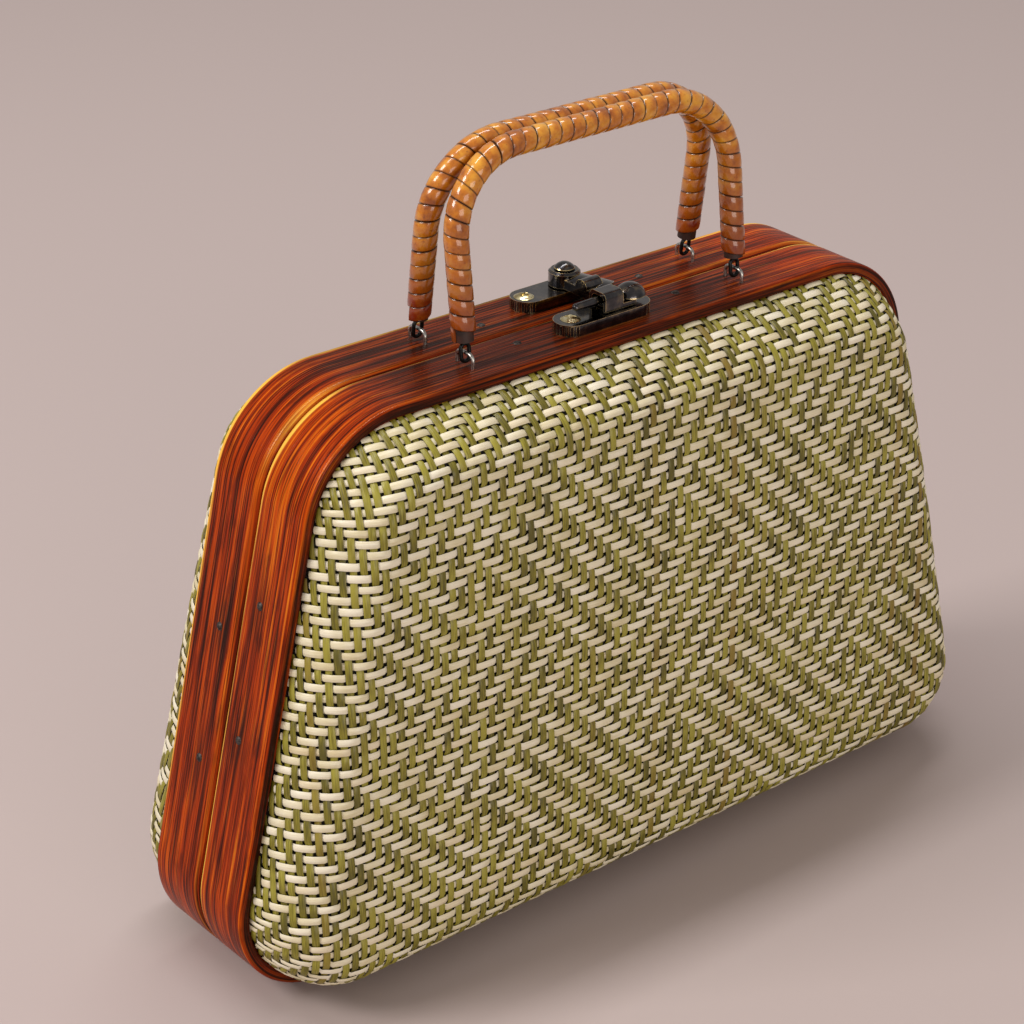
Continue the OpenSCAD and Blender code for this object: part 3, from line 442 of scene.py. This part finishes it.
def beyond_plateau(u, v):
    """Distance outside the level middle of the mat, with the outward direction there."""
    far, out_x, out_z = np.full(u.shape, -1.0), np.zeros(u.shape), np.zeros(u.shape)
    corners = [(base_x, base_corner, base_corner, -90.0, math.degrees(side_lean)),
               (top_x, top_y, top_corner, math.degrees(side_lean), 90.0)]
    mirror = np.where(u < 0, -1.0, 1.0)
    x = np.abs(u)
    cos_lean, sin_lean = math.cos(side_lean), math.sin(side_lean)
    flats = [(0.0, -1.0, -plateau_step), (0.0, 1.0, case_height - plateau_step),
             (cos_lean, sin_lean, base_width / 2 * cos_lean - plateau_step)]
    for nx, nz, level in flats:
        gap = x * nx + v * nz - level
        mine = gap > np.maximum(far, 0)
        far = np.where(mine, gap, far)
        out_x, out_z = np.where(mine, nx, out_x), np.where(mine, nz, out_z)
    for cx, cz, radius, first, last in corners:
        angle = np.degrees(np.arctan2(v - cz, x - cx))
        size = np.hypot(x - cx, v - cz)
        mine = (angle > first) & (angle < last) & (size > 1e-6)
        gap = size - (radius - plateau_step)
        far = np.where(mine, np.where(gap > 0, gap, -1.0), far)
        size = np.maximum(size, 1e-9)
        out_x, out_z = np.where(mine, (x - cx) / size, out_x), np.where(mine, (v - cz) / size, out_z)
    return np.maximum(far, 0.0), out_x * mirror, out_z


def edge_angle(length, height):
    """Steepness of the rounded edge at a length down from the level middle, and what is left over."""
    row = np.clip(height / edge_rows[1], 0, len(edge_rows) - 1.001)
    low = row.astype(int)
    found, left = np.zeros(length.shape), np.zeros(length.shape)
    for k in range(len(edge_rows) - 1):
        mine = low == k
        part = row[mine] - k
        one = np.interp(length[mine], edge_lengths[k], steepness)
        two = np.interp(length[mine], edge_lengths[k + 1], steepness)
        whole = edge_lengths[k][-1] * (1 - part) + edge_lengths[k + 1][-1] * part
        found[mine] = one * (1 - part) + two * part
        left[mine] = np.maximum(length[mine] - whole, 0)
    return np.where(left > 0, 0.0, found), left


def edge_step(angle, height):
    """How far outside the level middle the rounded edge lies at a steepness."""
    slack = (np.clip(height, 0, case_height) / case_height) ** edge_slack
    return panel_edge * ((1 - slack) * np.cos(angle) + slack * (1 - angle / (math.pi / 2)))


def mat_surface(u, v):
    """Where a point of the flat mat lies once it is pressed over the dome; also the length tucked in."""
    far, out_x, out_z = beyond_plateau(u, v)
    x, z = u - far * out_x, v - far * out_z
    angle, left = edge_angle(far, z)
    for _ in range(2):
        angle, left = edge_angle(far, z + out_z * edge_step(angle, z))
    step = edge_step(angle, z + out_z * panel_edge * np.cos(angle))
    half_width = side_x(z) - plateau_step / math.cos(side_lean)
    share = np.maximum(np.abs(x) / half_width, np.abs(z - case_height / 2) / (case_height / 2 - plateau_step))
    crown = panel_crown * (1 - np.minimum(share, 1) ** 2)
    on_edge = far > 0
    x = np.where(on_edge, x + out_x * step, x)
    z = np.where(on_edge, z + out_z * step, z)
    depth = hoop_depth + np.where(on_edge, bulge(z) * np.sin(angle), bulge(z) + crown) - left
    return np.stack([x, -depth, z], axis=-1), left


def mat_place(u, v, level):
    """A point on the front dome, moved out from the outer face of the mat by a level."""
    place, _ = mat_surface(u, v)
    du = mat_surface(u + nudge, v)[0] - mat_surface(u - nudge, v)[0]
    dv = mat_surface(u, v + nudge)[0] - mat_surface(u, v - nudge)[0]
    out = np.cross(du, dv)
    out /= np.maximum(np.linalg.norm(out, axis=-1, keepdims=True), 1e-12)
    out *= np.where(out[..., 1:2] > 1e-6, -1.0, 1.0)
    return place + out * np.asarray(level)[..., None]


def weft_on_top(i, r):
    """Whether level splint r passes over upright splint i. Lozenges of straight twill take turns to
    rise and to fall to the right; where four of them meet, the level splints show as one dot."""
    fall, rise, whole = i + r, i - r, dot_repeat
    in_rising = (fall + 2 - (rise - 3) // whole * whole) % (2 * whole) < whole + 4
    in_falling = (rise + 1 + whole - (fall - 2) // whole * whole) % (2 * whole) < whole + 4
    if (rise - 3) % whole < whole - 4 and in_rising:
        return rise % 4 in (0, 1)
    if (fall - 2) % whole < whole - 4 and in_falling:
        return fall % 4 in (0, 3)
    return i % (whole // 2) == 0 and r % (whole // 2) in (0, whole // 2 - 1)


def splints(upright, width, seed):
    """All upright or all level splints of one mat, on the front dome, with a tone for each splint.
    The section is in shares of a splint's width and thickness."""
    chance = np.random.default_rng(seed)
    section = np.array([(-0.5, -0.1), (-0.3, 0.42), (0.0, 0.55), (0.3, 0.42), (0.5, -0.1), (0.3, -0.45),
                        (-0.3, -0.45)])
    numbers, crossings = (warp_numbers, weft_numbers) if upright else (weft_numbers, warp_numbers)
    reach = warp_reach if upright else weft_reach
    places, faces, tones, runs, offs, base = [], [], [], [], [], 0
    for i in numbers:
        centre = dot_x + i * pitch if upright else dot_z + (i + 0.5) * pitch
        along, level = [], []
        for j in crossings:
            other = dot_z + (j + 0.5) * pitch if upright else dot_x + j * pitch
            on_top = [not weft_on_top(i, k) if upright else weft_on_top(k, i) for k in (j - 1, j, j + 1)]
            for shift, beside in ((-reach, on_top[0]), (reach, on_top[2])):
                along.append(other + shift * pitch)
                arch = splint_arch if beside == on_top[1] else -splint_arch
                level.append((over_level + arch) if on_top[1] else (under_level - arch))
        along, level = np.array(along), np.array(level)
        drift = drift_size * np.sin(along / drift_length + chance.uniform(0, 6.28))
        line = centre + (drift + chance.normal(0, drift_jump))
        wide = width * (1 + chance.normal(0, width_spread))
        level = level + chance.normal(0, level_spread, len(level))
        u, v = (line, along) if upright else (along, line)
        inside = np.nonzero(mat_surface(u, v)[1] < tuck)[0]
        if len(inside) < 3:
            continue
        first, last = inside[0], inside[-1] + 1
        u, v, level = u[first:last], v[first:last], level[first:last]
        across = section[None, :, 0] * wide
        out = level[:, None] + section[None, :, 1] * splint_thick
        su = u[:, None] + across if upright else np.broadcast_to(u[:, None], out.shape)
        sv = np.broadcast_to(v[:, None], out.shape) if upright else v[:, None] + across
        strip = mat_place(su, sv, out).reshape(-1, 3)
        count, sides = len(u), len(section)
        faces += tube_faces(count, sides, base)
        faces.append(tuple(base + s for s in range(sides)))
        faces.append(tuple(base + (count - 1) * sides + s for s in reversed(range(sides))))
        places.append(strip)
        tones.append(np.full(len(strip), chance.uniform()))
        runs.append(np.repeat(along[first:last] + 400 * chance.uniform(), sides))
        offs.append(np.tile(section[:, 0] * wide, count))
        base += len(strip)
    return [np.concatenate(part) for part in (places, tones, runs, offs)] + [faces]


# Bamboo splint, dyed or bleached: a satin skin with fibres along the splint, drawn at 0.3 mm, coarser
# than real ones. The green varies from yellow-olive to brown between splints, the cream hardly at all.
# The tone, times a large factor, moves each splint to its own part of the noise.
patch_length, strand_length, strand_width, strand_height, tone_shift = 14, 5, 0.3, 0.1, 40.0
splint_materials = {}
for name, colours, spread in (
        ("bamboo_splint_green", ("#575010", "#7a711c", "#989034", "#74501a"), 0.6),
        ("bamboo_splint_bleached", ("#ccbf98", "#dad0b0", "#e6dec8", "#cab384"), 0.35)):
    material, tree = start_material(name)
    tone, run, across = [add_node(tree, "ShaderNodeAttribute", attribute_name=label).outputs["Fac"]
                         for label in ("tone", "run_mm", "across_mm")]
    drawn = []
    for spot, scale in (
            ({"X": run, "Y": tone}, (1 / patch_length, tone_shift, 1.0)),
            ({"X": run, "Y": across, "Z": tone}, (1 / strand_length, 1 / strand_width, tone_shift))):
        spot = add_node(tree, "ShaderNodeCombineXYZ", spot)
        spot = add_node(tree, "ShaderNodeMapping", {"Vector": spot.outputs[0], "Scale": scale})
        drawn.append(add_node(tree, "ShaderNodeTexNoise", {
            "Vector": spot.outputs[0], "Scale": 1.0, "Detail": 3.0}).outputs["Fac"])
    patch, fibre = drawn
    blend = add_node(tree, "ShaderNodeMapRange", {"Value": tone, "To Min": -0.16 * spread,
                                                  "To Max": 0.16 * spread})
    blend = add_node(tree, "ShaderNodeMath", {0: patch, 1: blend.outputs[0]}, operation="ADD")
    streak = add_node(tree, "ShaderNodeMapRange", {"Value": fibre, "From Min": 0.3, "From Max": 0.7,
                                                   "To Min": -0.22 * spread, "To Max": 0.22 * spread})
    blend = add_node(tree, "ShaderNodeMath", {0: blend.outputs[0], 1: streak.outputs[0]}, operation="ADD")
    colour = add_node(tree, "ShaderNodeValToRGB", {"Fac": blend.outputs[0]}, stops=[
        (0.3, colours[0]), (0.46, colours[1]), (0.62, colours[2])])
    brown = add_node(tree, "ShaderNodeMapRange", {"Value": tone, "From Min": 0.8, "From Max": 0.95,
                                                  "To Max": spread})
    colour = add_node(tree, "ShaderNodeMix", {0: brown.outputs[0], 6: colour.outputs[0],
                                              7: linear(colours[3])}, data_type="RGBA")
    ridges = add_node(tree, "ShaderNodeBump", {"Height": fibre, "Strength": 0.5,
                                               "Distance": strand_height * 0.001})
    surface = add_node(tree, "ShaderNodeBsdfPrincipled", {
        "Base Color": colour.outputs[2], "Roughness": 0.42, "IOR": 1.5, "Normal": ridges.outputs[0]})
    add_node(tree, "ShaderNodeOutputMaterial", {"Surface": surface.outputs[0]})
    splint_materials[name] = material

for kind, upright, width, finish, seed in (
        ("green_warp", True, warp_width, "bamboo_splint_green", 11),
        ("bleached_weft", False, weft_width, "bamboo_splint_bleached", 23)):
    places, tones, runs, offs, faces = splints(upright, width, seed)
    for half, side in (("front", 1), ("back", -1)):
        mat = make_piece(f"{half}_{kind}", places * (1, side, 1), faces, sharp=80.0)
        set_values(mat, tone=tones, run_mm=runs, across_mm=offs)
        mat.data.materials.append(splint_materials[finish])
        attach(mat, half + "_half")
        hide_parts(half + "_woven_panel")

# Handles. A bent rod is wound from foot to foot with one split cane, skin side out, and lacquered.
# The turns lie edge to edge, and the cane is stained darker at the feet.
handle_x, handle_rise, handle_bend = 44.0, 47.0, 20.0
pivot_y, pivot_z, leg_end = 9.25, 153.2, 2.9
handle_outer, grip_gap = 3.21, 0.15
handle_lean = math.asin((pivot_y - handle_outer - grip_gap) / handle_rise)
leg_length = handle_rise - handle_bend - leg_end
bend_length = handle_bend * math.pi / 2
grip_length = 2 * (handle_x - handle_bend)
handle_length = 2 * (leg_length + bend_length) + grip_length
cane_turns, cane_steps, cane_inside, cane_gap = 41, 22, 2.42, 0.14
cane_thick, cane_swell, cane_wander = 0.7, 0.025, 0.10


def handle_line(s):
    """Sideways place, height and heading of the handle's centre line at a length along it."""
    mirror = s > handle_length / 2
    s = np.where(mirror, handle_length - s, s)
    bend = np.clip((s - leg_length) / bend_length, 0, 1) * math.pi / 2
    x = -handle_x + handle_bend * (1 - np.cos(bend)) + np.maximum(s - leg_length - bend_length, 0)
    z = leg_end + np.minimum(s, leg_length) + handle_bend * np.sin(bend)
    heading = math.pi / 2 - bend
    return np.where(mirror, -x, x), z, np.where(mirror, -heading, heading)


def cane_winding(name, side, seed):
    """One cane strip wound round the rod of the front or back handle. The section is in shares of the
    strip's width and thickness."""
    chance = np.random.default_rng(seed)
    step = handle_length / cane_turns
    width = step - cane_gap
    start = width / 2
    pace = (handle_length - width) / cane_turns
    section = np.array([(-0.5, 0.1), (-0.5, 0.72), (-0.43, 0.93), (0.0, 1.0), (0.43, 0.93), (0.5, 0.72),
                        (0.5, 0.1), (0.3, 0.0), (-0.3, 0.0)])
    count = cane_turns * cane_steps + 1
    k = np.arange(count)
    turn = 2 * np.pi * k / cane_steps
    turns = np.arange(cane_turns + 1)
    wander = np.interp(k / cane_steps, turns, chance.normal(0, cane_wander, len(turns)))
    swell = np.interp(k / cane_steps, turns, chance.normal(cane_thick, cane_swell, len(turns)))
    wander[0] = wander[-1] = 0.0
    s = start + pace * k / cane_steps + wander * np.minimum(1, np.minimum(k, count - 1 - k) / cane_steps)
    along = np.clip(s[:, None] + section[None, :, 0] * width, 0, handle_length)
    x, z, heading = handle_line(along)
    out = cane_inside + section[None, :, 1] * swell[:, None]
    px = x + out * np.cos(turn)[:, None] * np.cos(heading + math.pi / 2)
    py = out * np.sin(turn)[:, None]
    pz = z + out * np.cos(turn)[:, None] * np.sin(heading + math.pi / 2)
    lean_y = py * math.cos(handle_lean) + pz * math.sin(handle_lean)
    lean_z = -py * math.sin(handle_lean) + pz * math.cos(handle_lean)
    places = np.stack([px, (lean_y - pivot_y) * -side, lean_z + pivot_z], axis=-1).reshape(-1, 3)
    sides = len(section)
    faces = tube_faces(count, sides)
    faces.append(tuple(range(sides)))
    faces.append(tuple((count - 1) * sides + a for a in reversed(range(sides))))
    piece = make_piece(name, places, faces, sharp=70.0)
    feet = np.minimum(along, handle_length - along).reshape(-1)
    edge = np.abs(section[:, 0])[None, :].repeat(count, 0).reshape(-1)
    set_values(piece, foot_mm=feet, edge=edge)
    return piece


# Split cane under lacquer: amber skin with brown flecks, darkened along the edges of each turn with
# painted shade for the gaps between the turns, and red-brown at the feet.
cane_patch, cane_fleck, cane_ridge, stain_from, stain_to = 6, 1.1, 0.2, 3.0, 30.0
cane, tree = start_material("split_cane_lacquered")
where = add_node(tree, "ShaderNodeTexCoord").outputs["Object"]
foot, edge = [add_node(tree, "ShaderNodeAttribute", attribute_name=label).outputs["Fac"]
              for label in ("foot_mm", "edge")]
patches = add_node(tree, "ShaderNodeTexNoise", {"Vector": where, "Scale": 1000 / cane_patch, "Detail": 4.0,
                                                "Roughness": 0.6})
flecks = add_node(tree, "ShaderNodeTexNoise", {"Vector": where, "Scale": 1000 / cane_fleck, "Detail": 3.0})
amber = add_node(tree, "ShaderNodeValToRGB", {"Fac": patches.outputs["Fac"]}, stops=[
    (0.3, "#8a4508"), (0.46, "#bb6d10"), (0.66, "#dc9c2e")]).outputs[0]
fleck = add_node(tree, "ShaderNodeMapRange", {"Value": flecks.outputs["Fac"], "From Min": 0.6,
                                              "From Max": 0.75, "To Max": 0.55})
stain = add_node(tree, "ShaderNodeMapRange", {"Value": foot, "From Min": stain_from, "From Max": stain_to,
                                              "To Min": 1.7, "To Max": 0.0})
stain = add_node(tree, "ShaderNodeMath", {0: stain.outputs[0], 1: patches.outputs["Fac"]},
                 operation="MULTIPLY")
# Painted shade: darkens the edges of each turn, beside the gap between the turns.
turn_edge_shade = add_node(tree, "ShaderNodeMapRange", {"Value": edge, "From Min": 0.4, "From Max": 0.5, "To Max": 0.9})
for share, colour in ((fleck, "#6b2c08"), (stain, "#7a2607"), (turn_edge_shade, "#2a1005")):
    amber = add_node(tree, "ShaderNodeMix", {0: share.outputs[0], 6: amber, 7: linear(colour)},
                     data_type="RGBA").outputs[2]
ridges = add_node(tree, "ShaderNodeBump", {"Height": flecks.outputs["Fac"], "Strength": 0.2,
                                           "Distance": cane_ridge * 0.001})
surface = add_node(tree, "ShaderNodeBsdfPrincipled", {
    "Base Color": amber, "Roughness": 0.3, "IOR": 1.5, "Specular IOR Level": 0.3,
    "Normal": ridges.outputs[0], "Coat Weight": 1.0, "Coat Roughness": 0.08})
add_node(tree, "ShaderNodeOutputMaterial", {"Surface": surface.outputs[0]})

# Handle rod: dark glue-stained wood, seen only as the line between two turns and at the feet.
blotch_size = 3
glued_rod, tree = start_material("handle_rod_glued")
where = add_node(tree, "ShaderNodeTexCoord").outputs["Object"]
blotch = add_node(tree, "ShaderNodeTexNoise", {"Vector": where, "Scale": 1000 / blotch_size, "Detail": 3.0})
brown = add_node(tree, "ShaderNodeValToRGB", {"Fac": blotch.outputs["Fac"]}, stops=[
    (0.35, "#1d0b05"), (0.65, "#3a190b")])
surface = add_node(tree, "ShaderNodeBsdfPrincipled", {"Base Color": brown.outputs[0], "Roughness": 0.6})
add_node(tree, "ShaderNodeOutputMaterial", {"Surface": surface.outputs[0]})


def dress(name, material):
    """Gives a solid of the frame its material."""
    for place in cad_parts[name].material_slots:
        place.material = material


for half, side, seed in (("front", -1, 5), ("back", 1, 8)):
    winding = cane_winding(half + "_cane_winding", side, seed)
    winding.data.materials.append(cane)
    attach(winding, half + "_handle")
    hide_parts(half + "_cane_wrap")
    dress(half + "_handle_core", glued_rod)

# Wire eyes, staples and nails. A blackened wire eye is glued into each foot of a handle and hangs on a
# bright wire staple that is driven into the hoop, so that the handle swings. Dull steel nails hold each
# hoop to its inner hoop. Marks on the metal are drawn at 0.6 mm.
mark_size = 0.6
wire_finishes = {}
for name, low, high, metallic, rough in (
        ("steel_wire_blackened", "#080808", "#1a1918", 0.6, 0.35),
        ("steel_wire_bright", "#9c9a95", "#c9c7c2", 1.0, 0.28),
        ("nail_steel_dull", "#2b2624", "#57504c", 0.85, 0.5)):
    material, tree = start_material(name)
    where = add_node(tree, "ShaderNodeTexCoord").outputs["Object"]
    marks = add_node(tree, "ShaderNodeTexNoise", {"Vector": where, "Scale": 1000 / mark_size, "Detail": 3.0})
    colour = add_node(tree, "ShaderNodeValToRGB", {"Fac": marks.outputs["Fac"]}, stops=[
        (0.35, low), (0.65, high)])
    drawn = add_node(tree, "ShaderNodeMapRange", {"Value": marks.outputs["Fac"], "To Min": rough - 0.1,
                                                  "To Max": rough + 0.15})
    surface = add_node(tree, "ShaderNodeBsdfPrincipled", {
        "Base Color": colour.outputs[0], "Metallic": metallic, "Roughness": drawn.outputs[0]})
    add_node(tree, "ShaderNodeOutputMaterial", {"Surface": surface.outputs[0]})
    wire_finishes[name] = material
for half in ("front", "back"):
    for kind, count, finish in (("eye", 2, "steel_wire_blackened"), ("staple", 2, "steel_wire_bright"),
                                ("nail", 6, "nail_steel_dull")):
        for i in range(1, count + 1):
            dress(f"{half}_{kind}_{i}", wire_finishes[finish])

# Latch. A cast hook swings on a riveted plate on the back hoop and catches a domed stud on the front
# plate. The castings have soft edges and are antiqued: blackened, then rubbed until edges show brass.
cast_round, cast_angle, rubbed_width, patina_size = 0.3, 40, 0.45, 2.2

# Antiqued bronze: a near-black, glossy skin with brown patches, and brass along every rubbed edge.
antique_bronze, tree = start_material("bronze_antiqued")
where = add_node(tree, "ShaderNodeTexCoord").outputs["Object"]
patina = add_node(tree, "ShaderNodeTexNoise", {"Vector": where, "Scale": 1000 / patina_size, "Detail": 4.0})
black = add_node(tree, "ShaderNodeValToRGB", {"Fac": patina.outputs["Fac"]}, stops=[
    (0.35, "#232226"), (0.55, "#3d3b3e"), (0.72, "#6f6350")])
facing = add_node(tree, "ShaderNodeNewGeometry").outputs["Normal"]
softened = add_node(tree, "ShaderNodeBevel", {"Radius": rubbed_width * 0.001}, samples=8)
turned = add_node(tree, "ShaderNodeVectorMath", {0: softened.outputs[0], 1: facing}, operation="DOT_PRODUCT")
rubbed = add_node(tree, "ShaderNodeMapRange", {"Value": turned.outputs["Value"], "From Min": 0.985,
                                               "From Max": 0.9})
rubbed = add_node(tree, "ShaderNodeMath", {0: rubbed.outputs[0], 1: patina.outputs["Fac"]},
                  operation="MULTIPLY")
rubbed = add_node(tree, "ShaderNodeMapRange", {"Value": rubbed.outputs[0], "From Min": 0.2, "From Max": 0.45})
skin = add_node(tree, "ShaderNodeMix", {0: rubbed.outputs[0], 6: black.outputs[0], 7: linear("#cdb684")},
                data_type="RGBA")
dull = add_node(tree, "ShaderNodeMapRange", {"Value": patina.outputs["Fac"], "To Min": 0.12, "To Max": 0.34})
surface = add_node(tree, "ShaderNodeBsdfPrincipled", {
    "Base Color": skin.outputs[2], "Metallic": 1.0, "Roughness": dull.outputs[0],
    "Coat Weight": 0.8, "Coat Roughness": 0.08})
add_node(tree, "ShaderNodeOutputMaterial", {"Surface": surface.outputs[0]})
for name in ("latch_pivot_plate", "latch_rivet", "latch_keeper_plate", "latch_arm"):
    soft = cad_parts[name].modifiers.new("cast_round", "BEVEL")
    soft.width, soft.segments = cast_round * 0.001, 2
    soft.limit_method, soft.angle_limit = "ANGLE", math.radians(cast_angle)
    dress(name, antique_bronze)

# Screws and hinges. Cross-head brass screws hold the latch plates, and two small butt hinges are let
# in flush along the base with countersunk screws.
screw_head, screw_rise, screw_shank, screw_length = 2.6, 0.9, 1.2, 5.8
rim_step, rim_round = 0.08, 0.05
latch_x, plate_y, plate_top, screw_inset = 2.5, 9.0, 153.0, 13.2
slot_reach, slot_width, slot_depth, slot_foot, slot_mouth = 1.6, 0.75, 0.7, 0.9, 2.0


def revolve(name, profile, place, steps=40):
    """A closed profile of (radius, height) turned round an upright axis through a place."""
    rings = [(r, h) for r, h in profile if r > 0]
    turns = 2 * np.pi * np.arange(steps) / steps
    points = [(r * math.cos(a), r * math.sin(a), h) for r, h in rings for a in turns]
    points += [(0.0, 0.0, profile[0][1]), (0.0, 0.0, profile[-1][1])]
    faces = tube_faces(len(rings), steps)
    last = (len(rings) - 1) * steps
    faces += [(i, (i + 1) % steps, len(points) - 2) for i in range(steps)]
    faces += [(last + i, last + (i + 1) % steps, len(points) - 1) for i in range(steps)]
    return make_piece(name, np.array(points) + place, faces, sharp=50.0)


def cross_cutter(place, turn):
    """The cross recess of a screw head. Its walls draw in from the share slot_mouth of its reach and
    width at the top to the share slot_foot at the bottom."""
    work = bmesh.new()
    for quarter in (0.0, math.pi / 2):
        at = Matrix.Translation(place) @ Matrix.Rotation(turn + quarter, 4, "Z")
        at = at @ Matrix.Diagonal((slot_reach, slot_width / 2, 1.0, 1.0))
        at = at @ Matrix.Rotation(math.pi / 4, 4, "Z")
        bmesh.ops.create_cone(work, cap_ends=True, segments=4, radius1=slot_foot, radius2=slot_mouth,
                              depth=2 * slot_depth, matrix=at)
    return cutter_from("cross_recess", work)


# Aged brass: yellow metal with patches of darker tarnish and a worn satin gloss.
tarnish_size = 1.5
aged_brass, tree = start_material("brass_aged")
where = add_node(tree, "ShaderNodeTexCoord").outputs["Object"]
tarnish = add_node(tree, "ShaderNodeTexNoise", {"Vector": where, "Scale": 1000 / tarnish_size, "Detail": 4.0})
yellow = add_node(tree, "ShaderNodeValToRGB", {"Fac": tarnish.outputs["Fac"]}, stops=[
    (0.3, "#a8966a"), (0.5, "#d4c698"), (0.7, "#eee6c6")])
dull = add_node(tree, "ShaderNodeMapRange", {"Value": tarnish.outputs["Fac"], "To Min": 0.18, "To Max": 0.36})
surface = add_node(tree, "ShaderNodeBsdfPrincipled", {
    "Base Color": yellow.outputs[0], "Metallic": 1.0, "Roughness": dull.outputs[0]})
add_node(tree, "ShaderNodeOutputMaterial", {"Surface": surface.outputs[0]})

ball = (screw_head ** 2 + screw_rise ** 2) / (2 * screw_rise)
cap = [(r, screw_rise - ball + math.sqrt(ball ** 2 - r ** 2))
       for r in np.linspace(0, screw_head - rim_step, 9)]
screw_profile = cap + [(screw_head, rim_round), (screw_head - rim_round, 0.0), (screw_shank, 0.0),
                       (screw_shank, -screw_length), (0.0, -screw_length)]
for name, body, side, turn in (("pivot_plate_screw_1", "back_half", 1, 0.35),
                               ("keeper_plate_screw", "front_half", -1, 0.9)):
    place = (latch_x - screw_inset, side * plate_y, plate_top)
    screw = revolve(name + "_cross_head", screw_profile, place)
    cut_out(screw, cross_cutter((place[0], place[1], plate_top + screw_rise), turn), aged_brass)
    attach(screw, body)
    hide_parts(name)
brass_nodes = ["pivot_plate_screw_2", "hinge_pin_1", "hinge_pin_2"]
for half in ("front", "back"):
    brass_nodes += [f"{half}_hinge_leaf_{i}" for i in (1, 2)]
    brass_nodes += [f"{half}_hinge_screw_{i}" for i in (1, 2, 3, 4)]
for name in brass_nodes:
    dress(name, aged_brass)

# Studio. A plain pale floor, a soft window behind on the left, a long strip of light on the ceiling and
# a broad fill from the front left.
floor_half, floor_drop = 6000, 0.2
floor_colour, tree = start_material("floor_pale")
surface = add_node(tree, "ShaderNodeBsdfPrincipled", {"Base Color": linear("#b4a5a2"), "Roughness": 0.9})
add_node(tree, "ShaderNodeOutputMaterial", {"Surface": surface.outputs[0]})
floor_corners = [(x * floor_half, y * floor_half, 0) for x, y in ((-1, -1), (1, -1), (1, 1), (-1, 1))]
floor = make_piece("floor", floor_corners, [(0, 1, 2, 3)])
floor.location.z = -floor_drop * 0.001
floor.data.materials.append(floor_colour)


def soft_light(name, place, aim, size, watts, colour):
    """An area light of a width and height at a place, all in metres, that points at an aim."""
    lamp = bpy.data.lights.new(name, "AREA")
    lamp.shape, lamp.energy, lamp.color = "RECTANGLE", watts, linear(colour)[:3]
    lamp.size, lamp.size_y = size
    light = bpy.data.objects.new(name, lamp)
    light.location = place
    light.rotation_euler = (Vector(aim) - Vector(place)).to_track_quat("-Z", "Y").to_euler()
    bpy.context.scene.collection.objects.link(light)


soft_light("window", (-1.25, 0.45, 1.15), (0, 0, 0.08), (0.6, 0.6), 16.0, "#fffaf6")
soft_light("ceiling_strip", (0.0, 0.3, 1.5), (0.0, 0.1, 0.0), (1.5, 0.2), 11.0, "#ffffff")
soft_light("front_fill", (-0.5, -1.8, 0.55), (0, 0, 0.08), (1.4, 0.9), 13.0, "#fff4ea")
world = bpy.data.worlds.new("studio")
bpy.context.scene.world = world
world.use_nodes = True
background = world.node_tree.nodes["Background"].inputs
background["Color"].default_value = linear("#efe9e4")
background["Strength"].default_value = 0.48
bpy.context.scene.view_settings.view_transform = "Standard"

# Camera at the photograph's angle, from the front left and above, with a long lens.
camera = bpy.data.objects.new("camera", bpy.data.cameras.new("camera"))
camera.data.sensor_width, camera.data.lens = 36.0, 101.23
camera.location = (-0.43785, -0.50049, 0.42988)
ahead, roll = Vector((0.570726, 0.685373, -0.452256)), math.radians(0.77)
aimed = ahead.to_track_quat("-Z", "Y").to_matrix() @ Matrix.Rotation(roll, 3, "Z")
camera.rotation_euler = aimed.to_euler()
camera.data.clip_start, camera.data.clip_end = 0.05, 50.0
bpy.context.scene.collection.objects.link(camera)
bpy.context.scene.camera = camera
